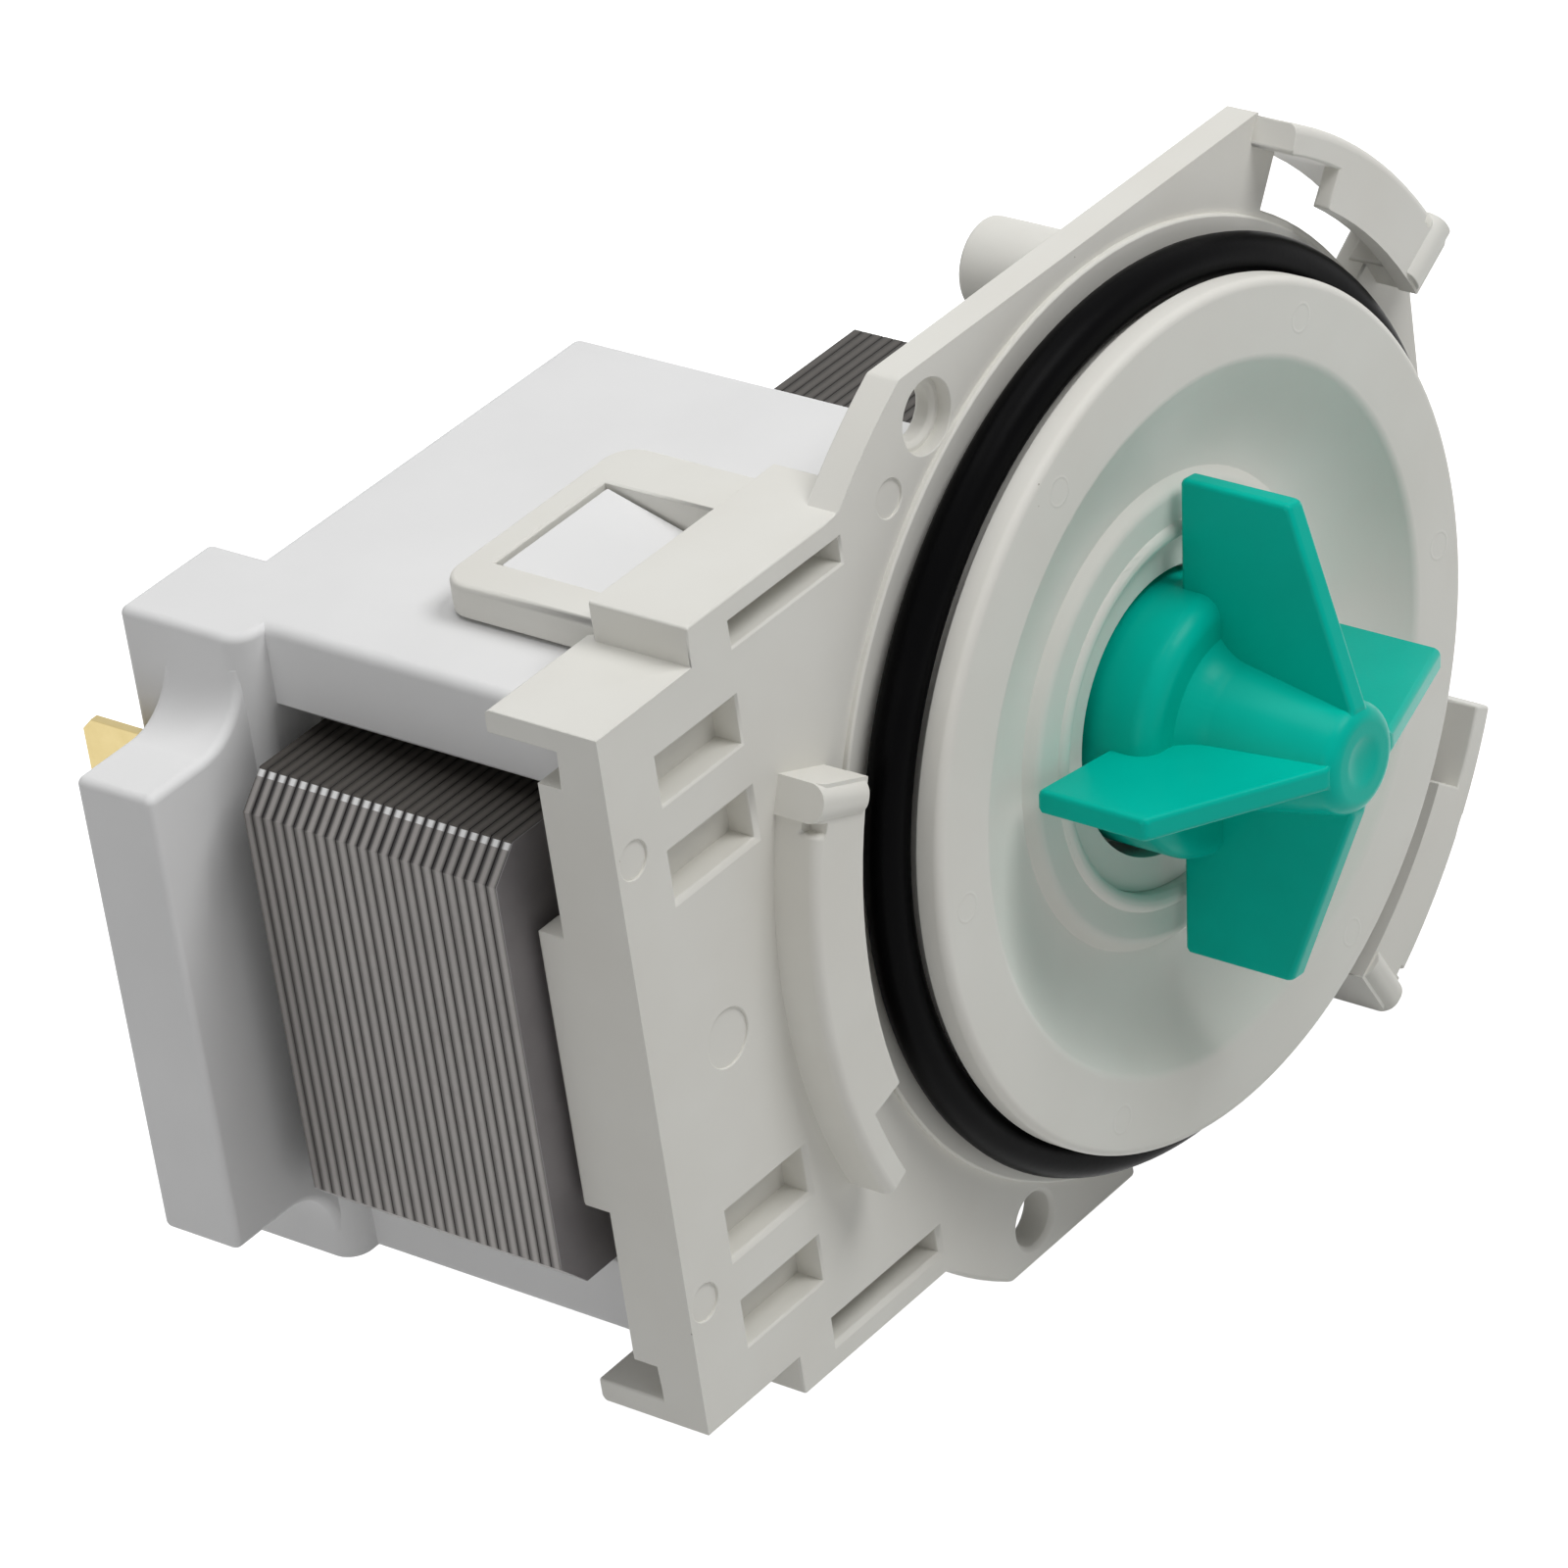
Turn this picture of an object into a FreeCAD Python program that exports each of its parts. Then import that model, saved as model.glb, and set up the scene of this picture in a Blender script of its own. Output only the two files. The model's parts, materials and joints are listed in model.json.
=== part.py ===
import FreeCAD, Part
import math
import os

from FreeCAD import Vector

# Drain pump of a dishwasher, lying with its motor axis horizontal.
# The pump axis is the Y axis and the impeller looks towards -Y. +Z is up, and +X is to the right
# when the impeller is seen from the front. The origin is where the pump axis meets the front face
# of the mounting plate. Sizes are in millimetres and angles in degrees, counted from +X towards +Z.

# Mounting plate: a round wing behind the spigot and a square carrier for the motor at its left
plate_thickness = 3.0
boss_step = 0.6
wing_margin = 0.5
wing_top_margin = 1.8
wing_bottom_margin = 1.2
wing_top_right = 22.5
wing_bottom_right = -7.6
plate_right_margin = 1.9
plate_right_low = -20.0
plate_right_high = 20.0
wing_corner_round = 1.0
carrier_left = 60.2
carrier_thickness = 4.0
screw_hole_radius = 2.2
screw_head_radius = 2.9
screw_head_depth = 1.2
screw_circle_margin = 3.0
screw_angle = 120.2
peg_radius = 3.7
peg_length = 8.5
peg_angle = 86.1
pocket_inset = 5.8
pocket_gap = 0.15
pocket_height = 3.95
pocket_depth = 2.5
pocket_levels = (15.35, 23.2)
ejector_depth = 0.2
ejector_centre_x = -51.5
ejector_centre_radius = 2.3
ejector_edge_x = -58.3
ejector_edge_z = 18.9
ejector_edge_radius = 1.5
ejector_wing_x = -25.8
ejector_wing_z = 31.1

# Clip blocks at the carrier's top and bottom, each with a slot and a snap loop behind it
clip_left = 49.3
clip_right = 27.5
clip_height = 5.2
clip_depth = 8.95
clip_gap = 0.3
slot_left = 44.75
slot_width = 12.9
slot_height = 2.05
slot_rise = 2.3
loop_left = 48.2
loop_right = 26.2
loop_rear = 24.4
loop_thickness = 2.7
window_left = 44.45
window_right = 31.6
window_rear = 21.85
loop_corner_round = 2.5
ledge_thickness = 2.0
ledge_depth = 10.1
rim_width = 2.4
rim_rear = 6.2
rim_half_height = 24.7
rim_tab_rear = 8.8
rim_tab_half_height = 11.8

# Spigot: boss, seal groove and front disc with its funnel and collar
boss_margin = 0.9
boss_height = 0.5
seal_stand_out = 2.7
seal_section = 3.6
seal_clearance = 0.1
disc_radius = 34.0
disc_thickness = 2.2
disc_edge_round = 0.7
funnel_rim = 6.2
funnel_depth = 3.8
collar_radius = 18.9
collar_bevel = 0.9
collar_height = 0.9
mouth_bead = 0.7
bore_radius = 14.2
spigot_wall = 2.4
rib_count = 16
rib_thickness = 1.2
rib_setback = 1.0

# Bayonet hooks round the spigot
hook_wall = 2.4
hook_lip_clearance = 2.9
hook_lip_reach = 3.1
hook_lip_thickness = 1.7
hook_height = 3.8
knob_width = 3.0
knob_height = 4.3
knob_reach = 0.2
knob_groove_width = 0.9
knob_groove_depth = 1.1
knob_groove_height = 1.5
hook_edge_round = 0.8
left_hook_start = 158.0
left_hook_lip = 38.0
left_hook_tail = 9.4
left_hook_opening = 42.6
upper_hook_start = 27.8
upper_hook_lip = 23.2
upper_hook_tail = 9.5
upper_hook_opening = 27.8
right_hook_start = -61.7
right_hook_lip = 24.7
right_hook_tail = 8.9
right_hook_opening = 29.3

# Can that the rotor turns in, moulded in one with the flange
holder_seat = 4.7
can_bore = 12.5
can_wall = 0.9
can_rear = 35.6
can_shoulder = 1.4
cushion_bore = 6.9
cushion_wall = 1.3
can_pocket_rear = 40.3
can_end_wall = 1.2

# Shaft and bearings
shaft_radius = 2.5
shaft_front = -12.8
running_clearance = 0.05
fit_clearance = 0.05
bearing_radius = 4.6
cushion_radius = 6.4
holder_thickness = 3.0
holder_mouth = -2.8
holder_mouth_bore = 11.5
holder_boss_radius = 8.2
holder_boss_rear = 6.5
holder_ring_section = 1.6
front_bearing_length = 4.6
rear_bearing_length = 3.6
washer_radius = 5.4
washer_thickness = 0.9
washer_gap = 0.2

# Rotor magnet on its moulded carrier
magnet_radius = 11.7
magnet_bore = 4.2
magnet_length = 24.8
carrier_flange_radius = 9.5
carrier_flange_thickness = 1.0
carrier_front = 7.9

# Impeller with its drum, tapered hub and four flat blades
drum_radius = 10.7
drum_wall = 1.6
drum_front = -8.2
drum_rear = -0.2
drum_round = 1.8
hub_root_radius = 7.5
hub_nose_radius = 4.4
hub_neck_radius = 6.0
hub_neck_length = 2.2
nose_front = -20.4
nose_round = 1.4
dimple_radius = 2.3
dimple_depth = 0.6
shaft_bore_depth = 4.9
blade_count = 4
blade_radius = 19.5
blade_thickness = 2.0
blade_back = -4.4
blade_corner = -14.3
blade_nose = -20.0
blade_angle = 81.0

# Coupling in the drum: a dog on the shaft, a tooth in the drum and rubber pads between them
cover_thickness = 1.3
dog_hub_radius = 4.2
dog_tooth_width = 50.0
drum_tooth_width = 50.0
pad_width = 8.0
dog_gap = 0.2
tooth_gap = 0.25
shaft_seal_radius = 4.6
shaft_seal_thickness = 1.1
shaft_seal_front = 0.3

# Steel core: punched U-shaped sheets
sheet_count = 24
sheet_pitch = 1.0
sheet_thickness = 0.84
core_front = 9.5
core_left = 62.65
core_half_height = 18.9
core_left_chamfer = 2.5
core_right = 15.7
core_right_chamfer = 4.0
core_bore = 13.8
bore_step = 0.5
bore_step_angle = 60.0
yoke_width = 12.0
leg_inner = 6.5
pole_tip = 4.6

# Coils
bobbin_clearance = 0.25
bobbin_wall = 1.0
bobbin_flange_thickness = 1.2
bobbin_flange_rim = 0.3
bobbin_right = 15.7
winding_thickness = 3.4
winding_corner_round = 3.6

# Coil casing
casing_left = 55.1
casing_right = 10.2
casing_rear = 42.2
casing_wall = 1.5
casing_coil_gap = 2.35
casing_front_gap = 0.2
side_band_width = 6.9
side_opening_rear = 35.5
casing_edge_round = 0.9
ramp_clearance = 0.3
ramp_front = 12.3
ramp_rise = 2.7

# Terminal block behind the casing, with the two spade terminals
block_left = 57.7
block_right = 47.2
block_front = 35.5
block_rear = 47.5
horn_left = 68.5
horn_front = 36.5
horn_rear = 43.9
horn_half_height = 19.75
horn_hollow = 4.8
block_edge_round = 0.7
block_front_round = 2.2
terminal_thickness = 0.8
terminal_width = 6.3
terminal_x = 59.5
terminal_level = 15.15
terminal_root = 37.6
terminal_tip = 51.2
terminal_tip_chamfer = 1.0
socket_side_margin = 1.6
socket_end_margin = 0.7
socket_front = 39.9

# Cutting bodies run past what they cut, and joined bodies lap, by this much
overrun = 1.0

# An edge counts as straight when it is hardly longer than the line between its ends
straight_share = 1.0001

# Sizes that follow from the ones above
seal_outer_radius = disc_radius + seal_stand_out
funnel_radius = disc_radius - funnel_rim
boss_radius = seal_outer_radius + boss_margin
plate_radius = boss_radius + boss_step
hook_lip_radius = seal_outer_radius + hook_lip_clearance
hook_inner_radius = hook_lip_radius + hook_lip_reach
hook_radius = hook_inner_radius + hook_wall
wing_radius = hook_radius + wing_margin
wing_top = boss_radius + wing_top_margin
wing_bottom = boss_radius + wing_bottom_margin
plate_right = boss_radius + plate_right_margin
screw_circle = boss_radius + screw_circle_margin
pocket_left = carrier_left - pocket_inset
pocket_right = hook_radius + pocket_gap
disc_rear = -(boss_height + seal_section + 2 * seal_clearance)
disc_front = disc_rear - disc_thickness
groove_radius = seal_outer_radius - seal_section - seal_clearance
spigot_bore = groove_radius - spigot_wall
funnel_floor = disc_front + funnel_depth
collar_front = funnel_floor - collar_height
chamber_radius = bore_radius + spigot_wall
can_radius = can_bore + can_wall
casing_front = carrier_thickness + casing_front_gap
coil_half_height = core_half_height + bobbin_clearance + bobbin_wall + winding_thickness
casing_half_height = coil_half_height + casing_coil_gap + casing_wall
clip_bottom = casing_half_height + clip_gap
clip_top = clip_bottom + clip_height
slot_level = clip_bottom + slot_rise
carrier_half_height = clip_bottom + ledge_thickness
ramp_height = casing_half_height + ramp_rise
carrier_rear = carrier_front + 2 * carrier_flange_thickness + magnet_length + 2 * fit_clearance
drum_inside = drum_front + drum_wall
cover_front = drum_rear - cover_thickness
core_rear = core_front + (sheet_count - 1) * sheet_pitch + sheet_thickness
core_depth = core_rear - core_front
bearing_bore = shaft_radius + running_clearance
shaft_rear = can_pocket_rear - washer_gap
rear_bearing_front = can_pocket_rear - washer_gap - rear_bearing_length

pump_centre = Vector(0, 0, 0)
pump_axis = Vector(0, 1, 0)


def face_from(edges):
    """Flat face inside a closed row of edges."""
    return Part.Face(Part.Wire(edges))


def line(first, second):
    return Part.LineSegment(first, second).toShape()


def arc(first, middle, last):
    return Part.Arc(first, middle, last).toShape()


def polygon(points):
    """Flat face with straight sides through the points."""
    return Part.Face(Part.makePolygon(points + points[:1]))


def block(left, right, front, rear, bottom, top):
    """Box between two planes along each axis."""
    corner = Vector(left, front, bottom)
    return Part.makeBox(right - left, rear - front, top - bottom, corner)


def rod(radius, front, rear, x=0.0, z=0.0):
    """Cylinder along the pump axis or beside it."""
    return Part.makeCylinder(radius, rear - front, Vector(x, front, z), pump_axis)


def on_circle(radius, angle):
    """Place at a radius from the pump axis and an angle."""
    return radius * math.cos(math.radians(angle)), radius * math.sin(math.radians(angle))


def turned(profile):
    """Body of revolution about the pump axis, from (radius, y) corners."""
    points = [Vector(radius, y, 0) for radius, y in profile]
    return polygon(points).revolve(pump_centre, pump_axis, 360)


def tube(inner, outer, front, rear):
    return rod(outer, front, rear).cut(rod(inner, front - overrun, rear + overrun))


def ring_sector(inner, outer, front, rear, start, sweep):
    """Part of a ring round the pump axis that starts at an angle and sweeps towards +Z."""
    corners = [Vector(inner, front, 0), Vector(outer, front, 0)]
    corners += [Vector(outer, rear, 0), Vector(inner, rear, 0)]
    section = polygon(corners)
    section.rotate(pump_centre, pump_axis, -start)
    return section.revolve(pump_centre, pump_axis, -sweep)


def turned_about_axis(shape, angle):
    """Copy of a shape turned about the pump axis."""
    copy = shape.copy()
    copy.rotate(pump_centre, pump_axis, -angle)
    return copy


def upside_down(shape):
    """Mirror image below the pump axis."""
    return shape.mirror(pump_centre, Vector(0, 0, 1))


def both_sides(shape):
    """The shape and its mirror image below the pump axis."""
    return [shape, upside_down(shape)]


def edges_along(shape, direction, test):
    """Straight edges along a direction whose middle passes a test."""
    found = []
    for edge in shape.Edges:
        if len(edge.Vertexes) != 2:
            continue
        first, last = edge.Vertexes[0].Point, edge.Vertexes[1].Point
        run = last.sub(first)
        if run.Length < fit_clearance or edge.Length > run.Length * straight_share:
            continue
        if abs(run.normalize().dot(direction)) > 0.999 and test(first.add(last).multiply(0.5)):
            found.append(edge)
    return found


def soften(shape, radius, test):
    """The shape with its straight edges rounded along all three axes where their middle passes a test."""
    edges = []
    for direction in (Vector(1, 0, 0), Vector(0, 1, 0), Vector(0, 0, 1)):
        edges += edges_along(shape, direction, test)
    return shape.makeFillet(radius, edges)


def save(name, shape):
    shape.exportStep(os.path.join("parts", name + ".step"))
    print(name, "solids", len(shape.Solids), "volume", round(shape.Volume, 1), "valid", shape.isValid())


def spigot_and_can():
    """Front disc, seal groove, boss, bearing chamber and rotor can as one turned shell."""
    def at(radius, y):
        return Vector(radius, y, 0)

    edge = disc_edge_round
    slant = edge * (1 - math.sqrt(0.5))
    hollow_floor = funnel_floor + spigot_wall
    pocket_radius = cushion_bore + cushion_wall
    can_back = can_rear + can_wall
    can_tail = can_pocket_rear + can_end_wall
    dish_radius = (collar_radius + 2 * funnel_radius) / 3
    dish_y = funnel_floor - funnel_depth * 0.36
    bead_outer = bore_radius + 2 * mouth_bead
    outline = [
        arc(at(bore_radius, collar_front), at(bore_radius + mouth_bead, collar_front - mouth_bead / 2),
            at(bead_outer, collar_front)),
        line(at(bead_outer, collar_front), at(collar_radius - collar_bevel, collar_front)),
        line(at(collar_radius - collar_bevel, collar_front), at(collar_radius, funnel_floor)),
        arc(at(collar_radius, funnel_floor), at(dish_radius, dish_y), at(funnel_radius, disc_front)),
        line(at(funnel_radius, disc_front), at(disc_radius - edge, disc_front)),
        arc(at(disc_radius - edge, disc_front), at(disc_radius - slant, disc_front + slant),
            at(disc_radius, disc_front + edge)),
        line(at(disc_radius, disc_front + edge), at(disc_radius, disc_rear)),
        line(at(disc_radius, disc_rear), at(groove_radius, disc_rear)),
        line(at(groove_radius, disc_rear), at(groove_radius, -boss_height)),
        line(at(groove_radius, -boss_height), at(boss_radius, -boss_height)),
        line(at(boss_radius, -boss_height), at(boss_radius, plate_thickness)),
        line(at(boss_radius, plate_thickness), at(spigot_bore, plate_thickness)),
        line(at(spigot_bore, plate_thickness), at(spigot_bore, disc_rear)),
        line(at(spigot_bore, disc_rear), at(funnel_radius, disc_rear)),
        line(at(funnel_radius, disc_rear), at(collar_radius, hollow_floor)),
        line(at(collar_radius, hollow_floor), at(chamber_radius, hollow_floor)),
        line(at(chamber_radius, hollow_floor), at(chamber_radius, holder_seat + can_shoulder)),
        line(at(chamber_radius, holder_seat + can_shoulder), at(can_radius, holder_seat + 2 * can_shoulder)),
        line(at(can_radius, holder_seat + 2 * can_shoulder), at(can_radius, can_back)),
        line(at(can_radius, can_back), at(pocket_radius, can_back)),
        line(at(pocket_radius, can_back), at(pocket_radius, can_tail)),
        line(at(pocket_radius, can_tail), at(0, can_tail)),
        line(at(0, can_tail), at(0, can_pocket_rear)),
        line(at(0, can_pocket_rear), at(cushion_bore, can_pocket_rear)),
        line(at(cushion_bore, can_pocket_rear), at(cushion_bore, can_rear)),
        line(at(cushion_bore, can_rear), at(can_bore, can_rear)),
        line(at(can_bore, can_rear), at(can_bore, holder_seat)),
        line(at(can_bore, holder_seat), at(bore_radius, holder_seat)),
        line(at(bore_radius, holder_seat), at(bore_radius, collar_front)),
    ]
    return face_from(outline).revolve(pump_centre, pump_axis, 360)


def spigot_ribs():
    """Webs that stiffen the hollow behind the front disc."""
    rear = plate_thickness - rib_setback
    hollow_floor = funnel_floor + spigot_wall
    lap = spigot_wall / 4
    corners = [Vector(chamber_radius - lap, rear, 0), Vector(chamber_radius - lap, hollow_floor - lap, 0),
               Vector(collar_radius, hollow_floor - lap, 0), Vector(funnel_radius, disc_rear - lap, 0),
               Vector(spigot_bore + lap, disc_rear - lap, 0), Vector(spigot_bore + lap, rear, 0)]
    web = polygon(corners).extrude(Vector(0, 0, rib_thickness))
    web.translate(Vector(0, 0, -rib_thickness / 2))
    return [turned_about_axis(web, index * 360 / rib_count) for index in range(rib_count)]


def plate_outline():
    """Round wing, carrier square and the pads that bear the hooks."""
    rear = plate_thickness
    wing = rod(wing_radius, 0, rear)
    upper_wing = wing.common(block(-wing_radius, wing_top_right, 0, rear, 0, wing_top))
    lower_wing = wing.common(block(-wing_radius, wing_bottom_right, 0, rear, -wing_bottom, 0))
    pieces = [upper_wing, lower_wing]
    pieces.append(block(0, plate_right, 0, rear, plate_right_low, plate_right_high))
    for start, lip, tail, _ in hook_places():
        pieces.append(ring_sector(spigot_bore, hook_radius, 0, rear, start, lip + tail))
    plate = rod(plate_radius, 0, rear).multiFuse(pieces).removeSplitter()
    top_and_bottom = min(wing_top, wing_bottom) - overrun

    def left_corner(middle):
        return middle.x < -screw_circle / 2 and abs(middle.z) > top_and_bottom

    plate = plate.makeFillet(wing_corner_round, edges_along(plate, pump_axis, left_corner))
    height = carrier_half_height
    carrier = block(-carrier_left, -clip_right, 0, carrier_thickness, -height, height)
    return plate.fuse(carrier)


def hook_places():
    """Start angle, lip sweep, tail sweep and opening sweep of each bayonet hook."""
    left = (left_hook_start, left_hook_lip, left_hook_tail, left_hook_opening)
    upper = (upper_hook_start, upper_hook_lip, upper_hook_tail, upper_hook_opening)
    right = (right_hook_start, right_hook_lip, right_hook_tail, right_hook_opening)
    return (left, upper, right)


def hook(start, lip, tail):
    """Wall round the spigot with an inward lip, and a rounded stop knob at its start."""
    root = plate_thickness / 2
    wall = ring_sector(hook_inner_radius, hook_radius, -hook_height, root, start, lip + tail)
    lip_rear = hook_lip_thickness - hook_height
    flat = ring_sector(hook_lip_radius, hook_radius, -hook_height, lip_rear, start, lip)
    wall = wall.fuse(flat).removeSplitter()
    rim = [edge for edge in wall.Edges if edge.BoundBox.YMax < fit_clearance - hook_height
           and isinstance(edge.Curve, Part.Circle) and edge.Curve.Radius > hook_inner_radius]
    wall = wall.makeFillet(hook_edge_round, rim)
    knob_sweep = math.degrees(knob_width / hook_radius)
    groove = ring_sector(hook_radius - knob_groove_depth, hook_radius + overrun, -hook_height - overrun,
                         knob_groove_height - hook_height, start + knob_sweep,
                         math.degrees(knob_groove_width / hook_radius))
    wall = wall.cut(groove)
    half = knob_width / 2
    knob = block(hook_lip_radius + knob_reach, hook_radius + knob_reach, -knob_height, root, 0, knob_width)
    tops = edges_along(knob, Vector(1, 0, 0), lambda middle: middle.y < -knob_height + half)
    knob = knob.makeFillet(half * 0.9, tops)
    return wall.fuse(turned_about_axis(knob, start))


def hook_openings():
    """Openings in the plate behind the hook lips."""
    knob_sweep = math.degrees(knob_width / hook_radius)
    cuts = []
    for start, _, _, opening in hook_places():
        cuts.append(ring_sector(plate_radius, hook_inner_radius, -overrun, carrier_thickness + overrun,
                                start + knob_sweep, opening - knob_sweep))
    return cuts


def clip_block():
    """Raised block with its slot, the snap loop behind it and the corner ledge."""
    body = block(-clip_left, -clip_right, 0, clip_depth, clip_bottom, clip_top)
    loop_top = clip_bottom + loop_thickness
    loop = block(-loop_left, -loop_right, clip_depth - overrun, loop_rear, clip_bottom, loop_top)
    corners = edges_along(loop, Vector(0, 0, 1), lambda middle: middle.y > loop_rear - overrun)
    loop = loop.makeFillet(loop_corner_round, corners)
    window = block(-window_left, -window_right, clip_depth, window_rear, 0, clip_top + overrun)
    ledge = block(-carrier_left, -clip_left + overrun, 0, ledge_depth, clip_bottom, carrier_half_height)
    loop = loop.cut(window)
    return body.multiFuse([loop, ledge])


def carrier_rim():
    """Step behind the carrier's left edge, deeper in the middle."""
    inner = carrier_left - rim_width
    rim = block(-carrier_left, -inner, 0, rim_rear, -rim_half_height, rim_half_height)
    tab = block(-carrier_left, -inner, 0, rim_tab_rear, -rim_tab_half_height, rim_tab_half_height)
    return rim.fuse(tab)


def ejector_marks():
    """Shallow round marks in the front face, left by the mould's pins."""
    centre = rod(ejector_centre_radius, -overrun, ejector_depth, ejector_centre_x, 0)
    edge = rod(ejector_edge_radius, -overrun, ejector_depth, ejector_edge_x, ejector_edge_z)
    wing = rod(ejector_edge_radius, -overrun, ejector_depth, ejector_wing_x, ejector_wing_z)
    return [centre, wing] + both_sides(edge)


def mounting_flange():
    """The one-piece moulding that carries everything."""
    flange = plate_outline().multiFuse([carrier_rim()] + both_sides(clip_block()))
    pocket = block(-pocket_left, -pocket_right, -overrun, pocket_depth, -pocket_height / 2, pocket_height / 2)
    slot = block(-slot_left, slot_width - slot_left, -overrun, clip_depth + overrun,
                 slot_level - slot_height / 2, slot_level + slot_height / 2)
    screw_x, screw_z = on_circle(screw_circle, screw_angle)
    hole = rod(screw_hole_radius, -overrun, plate_thickness + overrun, screw_x, screw_z)
    head = rod(screw_head_radius, -overrun, screw_head_depth, screw_x, screw_z)
    cuts = hook_openings() + both_sides(slot) + both_sides(hole) + [head] + ejector_marks()
    for level in pocket_levels:
        raised = pocket.copy()
        raised.translate(Vector(0, 0, level))
        cuts += both_sides(raised)
    cuts.append(rod(spigot_bore + spigot_wall / 2, -overrun, carrier_thickness + overrun))
    flange = flange.cut(Part.makeCompound(cuts))
    hooks = [hook(start, lip, tail) for start, lip, tail, _ in hook_places()]
    peg_x, peg_z = on_circle((spigot_bore + boss_radius) / 2, peg_angle)
    peg = rod(peg_radius, plate_thickness / 2, plate_thickness + peg_length, peg_x, peg_z)
    tip = [edge for edge in peg.Edges if edge.BoundBox.YMin > plate_thickness + peg_length - fit_clearance]
    peg = peg.makeFillet(peg_radius / 8, tip)
    return flange.multiFuse([spigot_and_can(), peg] + spigot_ribs() + hooks).removeSplitter()


def spigot_seal():
    """O-ring in the groove behind the front disc."""
    centre = Vector(0, disc_rear + seal_section / 2 + seal_clearance, 0)
    return Part.makeTorus(seal_outer_radius - seal_section / 2, seal_section / 2, centre, pump_axis)


def blade():
    """Flat blade with a straight tip that slopes back to the nose."""
    inside = (bearing_bore + hub_nose_radius) / 2
    in_wall = drum_radius - drum_wall / 2
    in_front_wall = drum_front + drum_wall / 2
    corners = [Vector(in_wall, blade_back, 0), Vector(blade_radius, blade_back, 0),
               Vector(blade_radius, blade_corner, 0), Vector(hub_nose_radius, blade_nose, 0),
               Vector(inside, blade_nose, 0), Vector(inside, in_front_wall, 0),
               Vector(in_wall, in_front_wall, 0)]
    plate = polygon(corners).extrude(Vector(0, 0, blade_thickness))
    plate.translate(Vector(0, 0, -blade_thickness / 2))
    return plate


def impeller():
    """Drum, tapered hub with its nose, four blades and the drive tooth inside the drum."""
    def at(radius, y):
        return Vector(radius, y, 0)

    bore = bearing_bore
    bore_end = drum_front - shaft_bore_depth
    slant = drum_round * (1 - math.sqrt(0.5))
    nose_slant = nose_round * (1 - math.sqrt(0.5))
    inside = drum_radius - drum_wall
    nose_back = nose_front + nose_round
    neck_middle = hub_neck_radius + (hub_root_radius - hub_neck_radius) * 0.4
    outline = [
        line(at(inside, drum_rear), at(drum_radius, drum_rear)),
        line(at(drum_radius, drum_rear), at(drum_radius, drum_front + drum_round)),
        arc(at(drum_radius, drum_front + drum_round), at(drum_radius - slant, drum_front + slant),
            at(drum_radius - drum_round, drum_front)),
        line(at(drum_radius - drum_round, drum_front), at(hub_root_radius, drum_front)),
        arc(at(hub_root_radius, drum_front), at(neck_middle, drum_front - hub_neck_length * 0.4),
            at(hub_neck_radius, drum_front - hub_neck_length)),
        line(at(hub_neck_radius, drum_front - hub_neck_length), at(hub_nose_radius, nose_back)),
        arc(at(hub_nose_radius, nose_back), at(hub_nose_radius - nose_slant, nose_front + nose_slant),
            at(hub_nose_radius - nose_round, nose_front)),
        line(at(hub_nose_radius - nose_round, nose_front), at(dimple_radius, nose_front)),
        line(at(dimple_radius, nose_front), at(0, nose_front + dimple_depth)),
        line(at(0, nose_front + dimple_depth), at(0, bore_end)),
        line(at(0, bore_end), at(bore, bore_end)),
        line(at(bore, bore_end), at(bore, drum_inside)),
        line(at(bore, drum_inside), at(inside, drum_inside)),
        line(at(inside, drum_inside), at(inside, drum_rear)),
    ]
    hub = face_from(outline).revolve(pump_centre, pump_axis, 360)
    turns = [blade_angle + index * 360 / blade_count for index in range(blade_count)]
    blades = [turned_about_axis(blade(), angle) for angle in turns]
    tooth = ring_sector(dog_hub_radius + tooth_gap, inside + drum_wall / 2, drum_inside - drum_wall / 2,
                        cover_front - dog_gap, blade_angle - drum_tooth_width / 2, drum_tooth_width)
    return hub.multiFuse(blades + [tooth]).removeSplitter()


def coupling_cover():
    """Plate that closes the drum and runs on the shaft."""
    outer = drum_radius - drum_wall - fit_clearance
    return tube(bearing_bore, outer, cover_front, drum_rear)


def drive_dog():
    """Hub fixed on the shaft with one driving tooth."""
    front = drum_inside + dog_gap
    rear = cover_front - dog_gap
    hub = tube(shaft_radius, dog_hub_radius, front, rear)
    reach = drum_radius - drum_wall - tooth_gap
    tooth = ring_sector(dog_hub_radius - fit_clearance, reach, front, rear,
                        blade_angle + 180 - dog_tooth_width / 2, dog_tooth_width)
    return hub.fuse(tooth).removeSplitter()


def coupling_damper():
    """Rubber pads on both flanks of the driving tooth."""
    front = drum_inside + dog_gap
    rear = cover_front - dog_gap
    inner = dog_hub_radius + fit_clearance
    reach = drum_radius - drum_wall - 2 * tooth_gap
    flank = blade_angle + 180 - dog_tooth_width / 2
    pads = [ring_sector(inner, reach, front, rear, flank - pad_width, pad_width),
            ring_sector(inner, reach, front, rear, flank + dog_tooth_width, pad_width)]
    return Part.makeCompound(pads)


def shaft_seal():
    return tube(shaft_radius, shaft_seal_radius, shaft_seal_front, shaft_seal_front + shaft_seal_thickness)


def rotor_shaft():
    shaft = rod(shaft_radius, shaft_front, shaft_rear)
    return shaft.makeChamfer(shaft_radius / 6, [shaft.Edges[0], shaft.Edges[2]])


def rotor_magnet():
    front = carrier_front + carrier_flange_thickness + fit_clearance
    return tube(magnet_bore, magnet_radius, front, front + magnet_length)


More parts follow.
